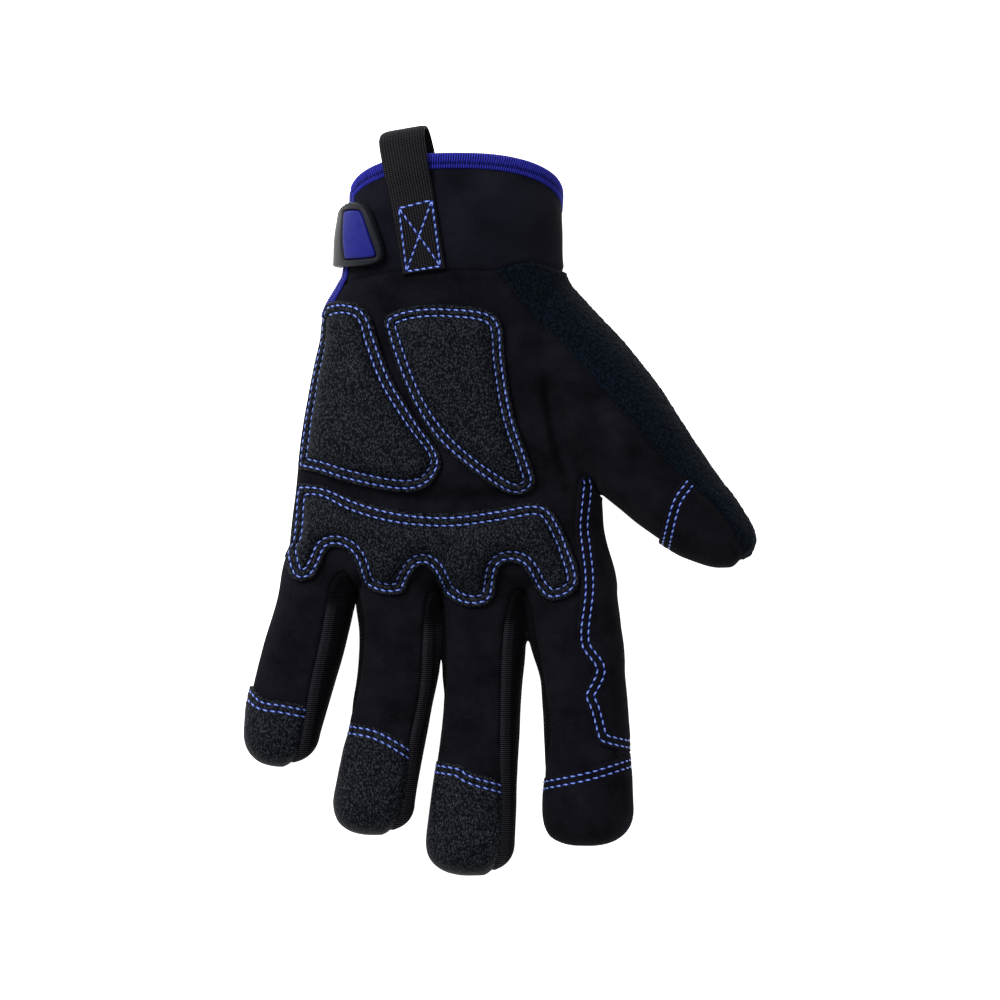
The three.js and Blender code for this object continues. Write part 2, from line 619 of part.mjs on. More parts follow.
// The upper face of the cuff: the point at x, y, lifted along the surface normal
function cuffFace(x, y, lift) {
  const rows = palmSections().slice(0, CUFF_ROWS.length).reverse();
  const next = Math.max(1, rows.findIndex((row) => row.left.y >= y));
  const [a, b] = [rows[next - 1], rows[next]];
  const t = THREE.MathUtils.clamp((y - a.left.y) / (b.left.y - a.left.y), 0, 1);
  const half = THREE.MathUtils.lerp(a.right.x, b.right.x, t);
  const low = THREE.MathUtils.lerp(a.low, b.low, t);
  const high = THREE.MathUtils.lerp(a.high, b.high, t);
  const widest = low + (high - low) * WIDEST;
  const n = PALM_ROUND.above;
  const heightAt = (at) => widest + (high - widest) * (1 - Math.abs(at / half) ** n) ** (1 / n);
  const step = 0.1;
  const slope = (heightAt(x + step) - heightAt(x - step)) / (2 * step);
  const normal = new THREE.Vector3(-slope, 0, 1).normalize();
  return new THREE.Vector3(x, y, heightAt(x)).addScaledVector(normal, lift);
}

function pullLoop() {
  const outerLift = BINDING_THICKNESS + SEAM_GAP * 2 + LOOP_THICKNESS / 2;
  const innerLift = -CUFF_WALL - BINDING_THICKNESS - SEAM_GAP * 3 - LOOP_THICKNESS / 2;
  const sewnLift = SEAM_GAP * 2 + LOOP_THICKNESS / 2;
  const radius = (outerLift - innerLift) / 2;
  const middleLift = (outerLift + innerLift) / 2;
  const overBinding = (LOOP_FOLD.y - LOOP_RIM) * CUFF_LENGTH;
  const fold = new THREE.Vector2(cuffX(LOOP_FOLD.x), cuffY(LOOP_FOLD.y));
  const down = new THREE.Vector2(LOOP_LEAN, -1).normalize();
  const onCuffRows = CUFF_ROWS.slice(1, -1).reverse()
    .map((row) => [(cuffY(row.y) - fold.y) / down.y, sewnLift]);
  const path = [
    [LOOP_LENGTH, sewnLift],
    ...onCuffRows,
    [overBinding + BINDING_WIDTH * 1.2, sewnLift],
    [overBinding, outerLift],
  ];
  const bends = 6;
  for (let i = 0; i <= bends; i += 1) {
    const angle = (i / bends) * Math.PI;
    path.push([radius - radius * Math.sin(angle), middleLift + radius * Math.cos(angle)]);
  }
  path.push([LOOP_INNER_LENGTH, innerLift]);
  const across = new THREE.Vector2(-down.y, down.x);
  const rings = path.map((point, i) => {
    const before = path[Math.max(0, i - 1)];
    const after = path[Math.min(path.length - 1, i + 1)];
    const tangent = new THREE.Vector2(after[0] - before[0], after[1] - before[1]).normalize();
    const corner = (side, face) => {
      const along = point[0] - tangent.y * face * (LOOP_THICKNESS / 2);
      const lift = point[1] + tangent.x * face * (LOOP_THICKNESS / 2);
      const at = fold.clone().addScaledVector(down, along).addScaledVector(across, side * (LOOP_WIDTH / 2));
      return cuffFace(at.x, at.y, lift);
    };
    return [corner(-1, 1), corner(0, 1), corner(1, 1), corner(1, -1), corner(0, -1), corner(-1, -1)];
  });
  return loft(rings, middleOf(rings[0]), middleOf(rings.at(-1)));
}

// Pads: crowned, thin where they are sewn down
function insideDistance(points, x, y) {
  const at = new THREE.Vector3(x, y, 0);
  const nearest = Math.min(...points.map((p, i) => {
    const q = points[(i + 1) % points.length];
    const edge = new THREE.Line3(new THREE.Vector3(p.x, p.y, 0), new THREE.Vector3(q.x, q.y, 0));
    return edge.closestPointToPoint(at, true, new THREE.Vector3()).distanceTo(at);
  }));
  const crossings = points.filter((p, i) => {
    const q = points[(i + 1) % points.length];
    return (p.y > y) !== (q.y > y) && x < p.x + ((q.x - p.x) * (y - p.y)) / (q.y - p.y);
  });
  return crossings.length % 2 ? nearest : 0;
}

function pad(points, lowest) {
  const crown = (x, y) => {
    const share = Math.min(1, insideDistance(points, x, y) / PAD_EDGE_WIDTH);
    return SEAM_GAP + PAD_EDGE_THICKNESS
      + (PAD_THICKNESS - PAD_EDGE_THICKNESS) * (1 - (1 - share) ** 2);
  };
  return join([palmForm(crown, true), fingersForm(crown)])
    .intersect(prism(points, lowest))
    .subtract(join([palmForm(SEAM_GAP), fingersForm(SEAM_GAP)]));
}

// Thin overlays that follow the form under them
function overlay(form, points) {
  return form(SEAM_GAP + OVERLAY_THICKNESS)
    .intersect(prism(points, SIDE_SEAM_HEIGHT))
    .subtract(form(SEAM_GAP));
}
const indexSide = (grow) => palmForm(grow).add(fingerForm(FINGERS.index, grow));

const PAD_FLOOR = 11; // height where a pad that wraps the little-finger edge stops
const pieces = {
  palm_panel: palmPanel,
  back_panel: backPanel,
  thumb_back: thumbBack,
  fourchette_little_ring: fourchette('fourchetteLittleRing'),
  fourchette_ring_middle: fourchette('fourchetteRingMiddle'),
  fourchette_middle_index: fourchette('fourchetteMiddleIndex'),
  cuff,
  cuff_binding: cuffBinding,
  hypothenar_pad: pad(outline.hypothenar, PAD_FLOOR).subtract(slit(BINDING_WIDTH + SEAM_GAP)),
  thenar_pad: pad(outline.thenar, PAD_FLOOR),
  knuckle_pad: pad(outline.knuckle, PAD_FLOOR),
  cap_little: overlay((grow) => fingerForm(FINGERS.little, grow), outline.capLittle),
  cap_ring: overlay((grow) => fingerForm(FINGERS.ring, grow), outline.capRing),
  cap_middle: overlay((grow) => fingerForm(FINGERS.middle, grow), outline.capMiddle),
  cap_index: overlay((grow) => fingerForm(FINGERS.index, grow), outline.capIndex),
  cap_thumb: overlay(thumbForm, outline.capThumb),
  index_patch: overlay(indexSide, outline.indexPatch).subtract(thumbForm(SEAM_GAP)),
  pull_loop: pullLoop(),
  wrist_strap: wristStrap,
  tab_frame: tabFrame,
  tab_inset: tabInset,
};

// Colours as they show in the photo, under white light
const LOOKS = table('name color roughness metalness', [
  ['palm_panel', 0x16161c, 0.9, 0],
  ['back_panel', 0x14151b, 0.85, 0],
  ['thumb_back', 0x13151d, 0.95, 0],
  ['fourchette_little_ring', 0x17171d, 0.85, 0],
  ['fourchette_ring_middle', 0x17171d, 0.85, 0],
  ['fourchette_middle_index', 0x17171d, 0.85, 0],
  ['cuff', 0x14141b, 0.8, 0],
  ['cuff_binding', 0x2424a0, 0.6, 0],
  ['hypothenar_pad', 0x23262d, 0.6, 0],
  ['thenar_pad', 0x23262d, 0.6, 0],
  ['knuckle_pad', 0x23262d, 0.6, 0],
  ['cap_little', 0x24272e, 0.6, 0],
  ['cap_ring', 0x24272e, 0.6, 0],
  ['cap_middle', 0x24272e, 0.6, 0],
  ['cap_index', 0x18191f, 0.9, 0],
  ['cap_thumb', 0x18191f, 0.9, 0],
  ['index_patch', 0x16161c, 0.9, 0],
  ['pull_loop', 0x1b1b20, 0.7, 0],
  ['wrist_strap', 0x17171c, 0.8, 0],
  ['tab_frame', 0x1a1a22, 0.5, 0],
  ['tab_inset', 0x28287c, 0.55, 0],
]);

function meshOf(name, solid) {
  const { vertProperties, triVerts } = solid.getMesh();
  const look = LOOKS.find((row) => row.name === name);
  const geometry = new THREE.BufferGeometry();
  geometry.setAttribute('position', new THREE.BufferAttribute(new Float32Array(vertProperties), 3));
  geometry.setIndex(new THREE.BufferAttribute(new Uint32Array(triVerts), 1));
  geometry.computeVertexNormals();
  const material = new THREE.MeshStandardMaterial({
    color: look.color,
    roughness: look.roughness,
    metalness: look.metalness,
  });
  const mesh = new THREE.Mesh(geometry, material);
  mesh.name = name;
  return mesh;
}

const glove = new THREE.Group();
glove.name = 'mechanic_glove';
Object.entries(pieces).forEach(([name, solid]) => glove.add(meshOf(name, largestBody(solid))));

// The origin goes to the middle of the footprint, on the surface that the glove lies on
const bounds = new THREE.Box3().setFromObject(glove);
const centre = bounds.getCenter(new THREE.Vector3());
glove.position.set(-centre.x, -centre.y, -bounds.min.z);

export default glove;
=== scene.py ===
import math

import bpy
import numpy as np
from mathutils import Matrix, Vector


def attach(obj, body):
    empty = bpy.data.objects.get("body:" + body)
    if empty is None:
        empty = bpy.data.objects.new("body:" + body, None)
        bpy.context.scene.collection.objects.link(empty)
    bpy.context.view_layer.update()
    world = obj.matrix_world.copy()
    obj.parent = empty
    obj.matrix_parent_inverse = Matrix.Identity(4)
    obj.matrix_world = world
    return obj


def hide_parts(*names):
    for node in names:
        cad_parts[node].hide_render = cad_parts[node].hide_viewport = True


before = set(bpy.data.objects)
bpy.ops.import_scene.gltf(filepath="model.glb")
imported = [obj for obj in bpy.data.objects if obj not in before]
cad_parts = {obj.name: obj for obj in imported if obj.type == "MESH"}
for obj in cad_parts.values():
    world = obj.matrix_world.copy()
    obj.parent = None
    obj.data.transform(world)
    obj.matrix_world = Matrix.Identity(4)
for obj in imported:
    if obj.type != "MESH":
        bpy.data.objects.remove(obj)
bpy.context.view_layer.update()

# The hand of the glove, filled out as one smooth form: a palm tube, four finger tubes and a thumb.
# It lies on its back, pressed flat underneath. Every cloth panel below is cut out of this form.
# Sizes in metres. Rows are shares of the named sizes; y runs from the wrist seam to the fingertips.
MM = 0.001
WRIST_X = -0.014705
WRIST_Y = 0.0782226
HAND_LENGTH = 0.2045
PALM_WIDTH = 0.110
PALM_DEPTH = 0.036
FINGER_WIDTH = 0.0278
FINGER_DEPTH = 0.021
FINGERTIP_LENGTH = 0.011
THUMB_WIDTH = 0.037
THUMB_DEPTH = 0.030
CUFF_LENGTH = 0.040
CUFF_WIDTH = 0.0725
CUFF_DEPTH = 0.046
SIDE_SEAM_HEIGHT = 0.007
# where a section is widest, as a share of its height, and how square it is above and below that
WIDEST = 0.45
PALM_ROUND = (2.3, 3.4)
FINGER_ROUND = (2.4, 3)
TIP_ROUND = 2.5
FINGER_PRESS = 0.03
THUMB_ACROSS = (0.714, 0.7)
# the joined form is rebuilt from squares of this size
FORM_GRAIN = 0.00085

# y above the wrist seam, left edge, right edge, low, high
cuff_rows = [
    (1.35, -0.455, 0.488, 0.085, 1.0),
    (0.61, -0.482, 0.495, 0.085, 1.0),
    (0.28, -0.507, 0.505, 0.085, 0.95),
    (0.0, -0.515, 0.513, 0.085, 0.89),
]
# y at the little-finger edge, y at the index edge, left edge, right edge, low, high
palm_rows = [
    (0.022, 0.022, -0.358, 0.354, 0.07, 1.10),
    (0.066, 0.066, -0.402, 0.368, 0.01, 1.06),
    (0.126, 0.126, -0.421, 0.389, -0.03, 1.02),
    (0.186, 0.186, -0.446, 0.408, -0.03, 1.00),
    (0.266, 0.266, -0.475, 0.430, -0.03, 0.96),
    (0.346, 0.346, -0.492, 0.441, -0.03, 0.89),
    (0.429, 0.429, -0.511, 0.451, -0.03, 0.82),
    (0.478, 0.482, -0.520, 0.475, -0.03, 0.77),
    (0.495, 0.507, -0.525, 0.485, -0.02, 0.72),
    (0.507, 0.525, -0.525, 0.490, 0.03, 0.60),
    (0.515, 0.535, -0.520, 0.485, 0.16, 0.42),
]
# rows of y, x, width, height; then the tip's y and x
fingers = {
    "little": ([(0.37, -0.34, 0.45, 1.0), (0.458, -0.402, 0.90, 1.12), (0.545, -0.433, 0.94, 1.03),
                (0.628, -0.473, 0.98, 0.93), (0.711, -0.514, 0.96, 0.88), (0.766, -0.534, 0.88, 0.86)],
               0.816, -0.539),
    "ring": ([(0.470, -0.167, 0.95, 1.20), (0.545, -0.173, 1.01, 1.12), (0.600, -0.167, 0.97, 1.03),
              (0.678, -0.180, 0.96, 0.98), (0.794, -0.222, 0.97, 0.95), (0.882, -0.251, 0.98, 0.92)],
             0.932, -0.25),
    "middle": ([(0.470, 0.083, 0.97, 1.20), (0.611, 0.090, 1.00, 1.05), (0.711, 0.083, 0.955, 0.99),
                (0.844, 0.066, 1.00, 0.97), (0.947, 0.050, 1.05, 0.95)], 0.999, 0.053),
    "index": ([(0.37, 0.27, 0.45, 1.0), (0.462, 0.328, 1.04, 1.18), (0.595, 0.364, 1.10, 1.06),
               (0.678, 0.390, 1.00, 1.00), (0.777, 0.403, 1.00, 0.97), (0.897, 0.407, 1.06, 0.95)],
              0.948, 0.403),
}
# square to the thumb's own slanted axis: x, y, width, low, high
thumb_rows = [
    (0.284, 0.052, 0.54, 0.03, 1.08),
    (0.333, 0.121, 0.84, -0.02, 1.12),
    (0.421, 0.190, 0.98, -0.03, 1.12),
    (0.511, 0.259, 1.04, -0.03, 1.10),
    (0.566, 0.300, 1.01, 0.00, 1.05),
    (0.640, 0.345, 0.91, 0.05, 0.98),
    (0.724, 0.392, 0.78, 0.08, 0.92),
    (0.780, 0.418, 0.71, 0.10, 0.87),
    (0.828, 0.440, 0.60, 0.13, 0.82),
    (0.866, 0.456, 0.48, 0.17, 0.76),
    (0.896, 0.467, 0.31, 0.24, 0.69),
]
thumb_tip = (0.917, 0.473, 0.46)
# soft folds and creases: depth in mm (below zero for a ridge), width in mm, then x, y in mm from the wrist
folds = [
    (2.0, 4.5, [(-26, -13), (-22, -28), (-15, -45), (-8, -59), (-3, -71)]),
    (2.3, 4.0, [(-56, -70), (-37, -75), (-19, -78), (-2, -78.5), (17, -77), (37, -75)]),
    (2.1, 2.3, [(31, -33), (33, -47), (35.5, -60), (41, -74)]),
    (-1.2, 3.0, [(38, -34), (40.5, -48), (45, -64)]),
    (1.4, 2.6, [(47, -40), (50, -55), (52, -68)]),
    (-0.9, 3.0, [(55, -46), (57, -60), (60, -70)]),
    (0.9, 2.4, [(36, -76), (42, -73), (50, -72)]),
    (0.5, 2.0, [(-4, -8), (4, -30), (14, -52)]),
    (0.5, 2.0, [(-58, -112), (-48, -113), (-37, -111)]),
    (0.5, 2.2, [(-32, -123), (-20, -125), (-7, -123)]),
    (0.5, 2.2, [(-3, -131), (8, -133), (21, -130)]),
    (0.5, 2.2, [(29, -122), (42, -125), (56, -122)]),
    (0.4, 2.0, [(-32, -152), (-22, -154), (-10, -152)]),
    (0.4, 2.0, [(-5, -160), (8, -162), (20, -160)]),
    (0.4, 2.0, [(31, -150), (44, -152), (58, -150)]),
]


def through(rows, steps):
    """A smooth run of rows through the given ones."""
    a = np.array(rows, float)
    padded = np.vstack([2 * a[0] - a[1], a, 2 * a[-1] - a[-2]])
    out = []
    for i in range(1, len(padded) - 2):
        p0, p1, p2, p3 = padded[i - 1:i + 3]
        for t in np.arange(steps) / steps:
            out.append(0.5 * (2 * p1 + (p2 - p0) * t + (2 * p0 - 5 * p1 + 4 * p2 - p3) * t ** 2
                              + (3 * p1 - p0 - 3 * p2 + p3) * t ** 3))
    out.append(a[-1])
    return np.array(out)


def section(middle, across, half, low, high, above, below, angle):
    """One ring of a tube, round above and flatter below, pressed flat on the surface."""
    c, s = np.cos(angle), np.sin(angle)
    power = np.where(s >= 0, 2 / above, 2 / below)
    widest = low + (high - low) * WIDEST
    side = np.sign(c) * np.abs(c) ** power * half
    lift = np.sign(s) * np.abs(s) ** power * np.where(s >= 0, high - widest, widest - low)
    return np.stack([middle[0] + across[0] * side, middle[1] + across[1] * side,
                     np.maximum(0, widest + lift)], -1)


def tube(rings, tip):
    """Vertices and faces of a closed tube."""
    sides = len(rings[0])
    verts = np.vstack([*rings, rings[0].mean(0), tip])
    faces = []
    start = len(rings) * sides
    last = start - sides
    for i in range(sides):
        j = (i + 1) % sides
        for r in range(len(rings) - 1):
            a = r * sides
            faces.append((a + i, a + j, a + j + sides, a + i + sides))
        faces.append((start, j, i))
        faces.append((start + 1, last + i, last + j))
    return verts, faces


def around(sides):
    return np.arange(sides) * 2 * math.pi / sides


palm_all = [(WRIST_Y + y * CUFF_LENGTH, WRIST_Y + y * CUFF_LENGTH, WRIST_X + x0 * CUFF_WIDTH,
             WRIST_X + x1 * CUFF_WIDTH, low * CUFF_DEPTH, high * CUFF_DEPTH)
            for y, x0, x1, low, high in cuff_rows]
palm_all += [(WRIST_Y - y0 * HAND_LENGTH, WRIST_Y - y1 * HAND_LENGTH, WRIST_X + x0 * PALM_WIDTH,
              WRIST_X + x1 * PALM_WIDTH, low * PALM_DEPTH, high * PALM_DEPTH)
             for y0, y1, x0, x1, low, high in palm_rows]
palm_fine = through(palm_all, 8)

tubes = []
rings = []
for y0, y1, x0, x1, low, high in palm_fine:
    width = math.hypot(x1 - x0, y1 - y0)
    rings.append(section(((x0 + x1) / 2, (y0 + y1) / 2), ((x1 - x0) / width, (y1 - y0) / width),
                         width / 2, low, high, *PALM_ROUND, around(128)))
tubes.append(tube(rings, rings[-1].mean(0)))
for rows, tip_y, tip_x in fingers.values():
    rings = []
    fine = through(rows, 6)
    for y, x, width, height in fine:
        rings.append(section((WRIST_X + x * PALM_WIDTH, WRIST_Y - y * HAND_LENGTH), (1, 0),
                             width * FINGER_WIDTH / 2, -FINGER_PRESS * FINGER_DEPTH, height * FINGER_DEPTH,
                             *FINGER_ROUND, around(64)))
    y, x, width, height = fine[-1]
    top = height * FINGER_DEPTH
    middle = top * WIDEST
    end_y = WRIST_Y - tip_y * HAND_LENGTH
    for station in (0.15, 0.3, 0.45, 0.6, 0.72, 0.82, 0.9, 0.96, 0.99):
        share = (1 - station ** TIP_ROUND) ** (1 / TIP_ROUND)
        rings.append(section((WRIST_X + (x + (tip_x - x) * station) * PALM_WIDTH,
                              end_y + FINGERTIP_LENGTH * (1 - station)), (1, 0),
                             width * FINGER_WIDTH / 2 * share, middle * (1 - share) - 0.6 * MM * share,
                             middle + (top - middle) * share, *FINGER_ROUND, around(64)))
    tubes.append(tube(rings, (WRIST_X + tip_x * PALM_WIDTH, end_y, middle)))
rings = [section((WRIST_X + x * PALM_WIDTH, WRIST_Y - y * HAND_LENGTH), THUMB_ACROSS, w * THUMB_WIDTH / 2,
                 low * THUMB_DEPTH, high * THUMB_DEPTH, *FINGER_ROUND, around(72))
         for x, y, w, low, high in through(thumb_rows, 6)]
tubes.append(tube(rings, (WRIST_X + thumb_tip[0] * PALM_WIDTH, WRIST_Y - thumb_tip[1] * HAND_LENGTH,
                          thumb_tip[2] * THUMB_DEPTH)))


def alone(obj):
    """Only this object is selected and active."""
    bpy.ops.object.select_all(action="DESELECT")
    obj.select_set(True)
    bpy.context.view_layer.objects.active = obj


def mesh_piece(name, verts, faces):
    mesh = bpy.data.meshes.new(name)
    mesh.from_pydata([tuple(v) for v in verts], [], [tuple(int(i) for i in f) for f in faces])
    mesh.validate()
    obj = bpy.data.objects.new(name, mesh)
    bpy.context.collection.objects.link(obj)
    return obj


def worked(obj, kind, **settings):
    """Adds one modifier and applies it."""
    alone(obj)
    modifier = obj.modifiers.new(kind.lower(), kind)
    for key, value in settings.items():
        setattr(modifier, key, value)
    bpy.ops.object.modifier_apply(modifier=modifier.name)


parts = [mesh_piece("form", verts, faces) for verts, faces in tubes]
bpy.ops.object.select_all(action="DESELECT")
for part in parts:
    part.select_set(True)
bpy.context.view_layer.objects.active = parts[0]
bpy.ops.object.join()
form = bpy.context.view_layer.objects.active
worked(form, "REMESH", mode="VOXEL", voxel_size=FORM_GRAIN, adaptivity=0)
worked(form, "SMOOTH", factor=0.5, iterations=9)
worked(form, "TRIANGULATE")


def arrays(obj):
    mesh = obj.data
    co = np.empty(len(mesh.vertices) * 3)
    mesh.vertices.foreach_get("co", co)
    tri = np.empty(len(mesh.polygons) * 3, int)
    mesh.polygons.foreach_get("vertices", tri)
    return co.reshape(-1, 3), tri.reshape(-1, 3)


def normals(co, tri):
    face = np.cross(co[tri[:, 1]] - co[tri[:, 0]], co[tri[:, 2]] - co[tri[:, 0]])
    out = np.zeros_like(co)
    for k in range(3):
        np.add.at(out, tri[:, k], face)
    return out / np.maximum(np.linalg.norm(out, axis=1, keepdims=True), 1e-20)


def lumps(points, size, seed):
    """Smooth unevenness from -1 to 1, with bumps of about this size."""
    p = points / size + seed * 17.31
    cell = np.floor(p).astype(np.int64)
    t = p - cell
    t = t * t * (3 - 2 * t)
    total = np.zeros(len(p))
    for corner in range(8):
        step = np.array([corner & 1, corner >> 1 & 1, corner >> 2 & 1])
        h = (cell + step) @ np.array([73856093, 19349663, 83492791])
        h = (h ^ (h >> 13)) * 1274126177 & 0x7FFFFFFF
        h = (h ^ (h >> 16)) & 0xFFFF
        weight = np.prod(np.where(step, t, 1 - t), axis=1)
        total += weight * (h / 32767.5 - 1)
    return total


def eased(x):
    x = np.clip(x, 0, 1)
    return x * x * (3 - 2 * x)


def to_line(points, xy, closed):
    """Distance of each xy from a line of points, and how far along it the nearest place is, 0 to 1."""
    a = np.asarray(points, float)
    b = np.roll(a, -1, 0) if closed else a[1:]
    a = a if closed else a[:-1]
    length = np.linalg.norm(b - a, axis=1)
    run = np.concatenate([[0], np.cumsum(length)])
    best = np.full(len(xy), 1e9)
    along = np.zeros(len(xy))
    for p, q, size, start in zip(a, b, length, run):
        t = np.clip(((xy - p) @ (q - p)) / size ** 2, 0, 1)
        d = np.linalg.norm(xy - p - t[:, None] * (q - p), axis=1)
        nearer = d < best
        best[nearer] = d[nearer]
        along[nearer] = (start + t * size)[nearer] / run[-1]
    return best, along


co, tri = arrays(form)
bpy.data.objects.remove(form)
no = normals(co, tri)
smooth_form = (co.copy(), no.copy(), tri)
facing = eased(no[:, 2] / 0.35)
for depth, width, line in folds:
    points = through(np.array(line) * MM + (WRIST_X, WRIST_Y), 4)
    reach = 3 * width * MM
    near = np.all((co[:, :2] > points.min(0) - reach) & (co[:, :2] < points.max(0) + reach), 1)
    near &= no[:, 2] > 0
    d, along = to_line(points, co[near, :2], False)
    ends = eased(along * 5) * eased((1 - along) * 5)
    amount = depth * MM * np.exp(-(d / (width * MM)) ** 2) * ends * facing[near]
    co[near] -= no[near] * amount[:, None]
lying = co[:, 2] < 0.4 * MM
uneven = 0.45 * MM * lumps(co, 0.022, 1) + 0.22 * MM * lumps(co, 0.009, 2)
uneven *= np.where(lying, 0, 1)
co += no * uneven[:, None]
no = normals(co, tri)
skin = (co, no, tri)


def on_hand(points):
    return np.array([(WRIST_X + x * PALM_WIDTH, WRIST_Y - y * HAND_LENGTH) for x, y in points])


def on_cuff(points):
    return np.array([(WRIST_X + x * CUFF_WIDTH, WRIST_Y + y * CUFF_LENGTH) for x, y in points])


def rounded(points, steps=4):
    """A closed outline, with its corners eased."""
    a = np.asarray(points, float)
    loop = np.vstack([a[-2:], a, a[:3]])
    fine = through(loop, steps)
    return fine[2 * steps:(len(a) + 2) * steps]


def inside(points, xy, reach=12 * MM):
    """How far each xy is inside a closed outline; below zero outside it."""
    out = np.full(len(xy), -reach)
    near = np.all((xy > points.min(0) - reach) & (xy < points.max(0) + reach), 1)
    part = xy[near]
    d, _ = to_line(points, part, True)
    nxt = np.roll(points, -1, 0)
    odd = np.zeros(len(part), bool)
    for p, q in zip(points, nxt):
        if p[1] != q[1]:
            cross = (p[1] > part[:, 1]) != (q[1] > part[:, 1])
            odd ^= cross & (part[:, 0] < p[0] + (q[0] - p[0]) * (part[:, 1] - p[1]) / (q[1] - p[1]))
    out[near] = np.where(odd, d, -d)
    return out


def cut_out(form, field):
    """The part of a form where the field is above zero, with a clean edge; also its field values."""
    co, no, tri = form
    f = np.where(np.abs(field) < 0.03 * MM, 0.03 * MM, field)
    keep = f > 0
    count = keep[tri].sum(1)

    def turned(t, flag):
        first = flag[t].argmax(1)
        return np.take_along_axis(t, (first[:, None] + np.arange(3)) % 3, 1)

    one = turned(tri[count == 1], keep)
    two = turned(tri[count == 2], ~keep)
    pairs = np.sort(np.vstack([one[:, [0, 1]], one[:, [0, 2]], two[:, [0, 1]], two[:, [0, 2]]]), 1)
    edges, place = np.unique(pairs, axis=0, return_inverse=True)
    place = place.reshape(-1) + len(co)
    a, b = edges.T
    t = (f[a] / (f[a] - f[b]))[:, None]
    co = np.vstack([co, co[a] * (1 - t) + co[b] * t])
    no = np.vstack([no, no[a] * (1 - t) + no[b] * t])
    f = np.concatenate([f, np.zeros(len(a))])
    n, m = len(one), len(two)
    p, q, r, s = place[:n], place[n:2 * n], place[2 * n:2 * n + m], place[2 * n + m:]
    tri = np.vstack([tri[count == 3], np.column_stack([one[:, 0], p, q]),
                     np.column_stack([r, two[:, 1], two[:, 2]]), np.column_stack([r, two[:, 2], s])])
    used, tri = np.unique(tri, return_inverse=True)
    return (co[used], no[used], tri.reshape(-1, 3)), f[used]


def finer(form, field):
    """Every triangle in four."""
    co, no, tri = form
    pairs = np.sort(np.vstack([tri[:, [0, 1]], tri[:, [1, 2]], tri[:, [2, 0]]]), 1)
    edges, place = np.unique(pairs, axis=0, return_inverse=True)
    place = place.reshape(3, -1) + len(co)
    a, b = edges.T
    ab, bc, ca = place
    tri = np.vstack([np.column_stack([tri[:, 0], ab, ca]), np.column_stack([ab, tri[:, 1], bc]),
                     np.column_stack([ca, bc, tri[:, 2]]), np.column_stack([ab, bc, ca])])
    return (np.vstack([co, (co[a] + co[b]) / 2]), np.vstack([no, (no[a] + no[b]) / 2]), tri), \
        np.concatenate([field, (field[a] + field[b]) / 2])


# The sewn panels: suede in front, stretch fabric behind, terry round the thumb, ribbed knit between the
# fingers, and a neoprene cuff with a slit. They are cut from the form along the seams below, seen from
# above. Where two panels meet, both edges are turned in, which leaves a groove.
wrist_seam = [(-0.8, 0.047), (-0.634, 0.047), (-0.34, 0.017), (-0.263, 0.008), (-0.17, 0.0),
              (0.124, 0.0), (0.185, -0.012), (0.232, -0.017), (0.334, -0.003), (1.2, -0.003)]
outlines = {
    "little_ring": [
        (-0.345, 0.499), (-0.377, 0.515), (-0.393, 0.548), (-0.414, 0.611), (-0.442, 0.678),
        (-0.464, 0.744), (-0.482, 0.794), (-0.51, 0.839), (-0.411, 0.953), (-0.31, 0.975),
        (-0.368, 0.93), (-0.388, 0.877), (-0.373, 0.836), (-0.353, 0.794), (-0.327, 0.744),
        (-0.300, 0.678), (-0.286, 0.595), (-0.298, 0.545), (-0.32, 0.515)],
    "ring_middle": [
        (-0.065, 0.53), (-0.085, 0.545), (-0.093, 0.575), (-0.096, 0.611), (-0.105, 0.694),
        (-0.136, 0.777), (-0.148, 0.844), (-0.167, 0.897), (-0.207, 0.952), (-0.108, 1.017),
        (-0.03, 1.035), (-0.086, 0.99), (-0.1, 0.943), (-0.084, 0.877), (-0.062, 0.811),
        (-0.041, 0.744), (-0.034, 0.678), (-0.034, 0.60), (-0.038, 0.56), (-0.05, 0.54)],
    "middle_index": [
        (0.195, 0.526), (0.176, 0.54), (0.160, 0.575), (0.151, 0.611), (0.145, 0.678),
        (0.142, 0.811), (0.145, 0.877), (0.139, 0.96), (0.114, 1.02), (0.288, 1.02),
        (0.32, 0.99), (0.283, 0.945), (0.268, 0.91), (0.266, 0.877), (0.273, 0.844),
        (0.286, 0.794), (0.287, 0.744), (0.269, 0.678), (0.247, 0.611), (0.232, 0.56), (0.215, 0.535)],
    "thumb_above": [
        (0.13, -0.06), (0.13, 0.002), (0.201, 0.047), (0.278, 0.093), (0.355, 0.133),
        (0.417, 0.171), (0.485, 0.213), (0.572, 0.262), (0.649, 0.312), (0.726, 0.349),
        (0.804, 0.387), (0.86, 0.427), (0.893, 0.458),
        (0.885, 0.475), (0.868, 0.50), (0.868, 0.6), (1.159, 0.6), (1.159, -0.06)],
    "thumb_below": [
        (0.303, -0.06), (0.34, 0.047), (0.374, 0.121), (0.402, 0.188), (0.423, 0.262),
        (0.442, 0.329), (0.464, 0.374), (0.572, 0.478), (0.757, 0.545), (1.159, 0.545), (1.159, -0.06)],
}
xy = co[:, :2]
z = co[:, 2]
seam = on_hand(wrist_seam)
hand_region = np.vstack([seam, [(0.3, -0.4), (-0.3, -0.4)]])
hand_side = inside(hand_region, xy, 0.5)
between = {name: inside(rounded(on_hand(outlines[name])), xy)
           for name in ("little_ring", "ring_middle", "middle_index")}
blend = eased((z - 6 * MM) / (2 * MM))
thumb_side = blend * inside(on_hand(outlines["thumb_above"]), xy)
thumb_side += (1 - blend) * inside(on_hand(outlines["thumb_below"]), xy)

SLIT_WIDTH = 0.003
SLIT_FOOT_HALF = 0.15 * MM
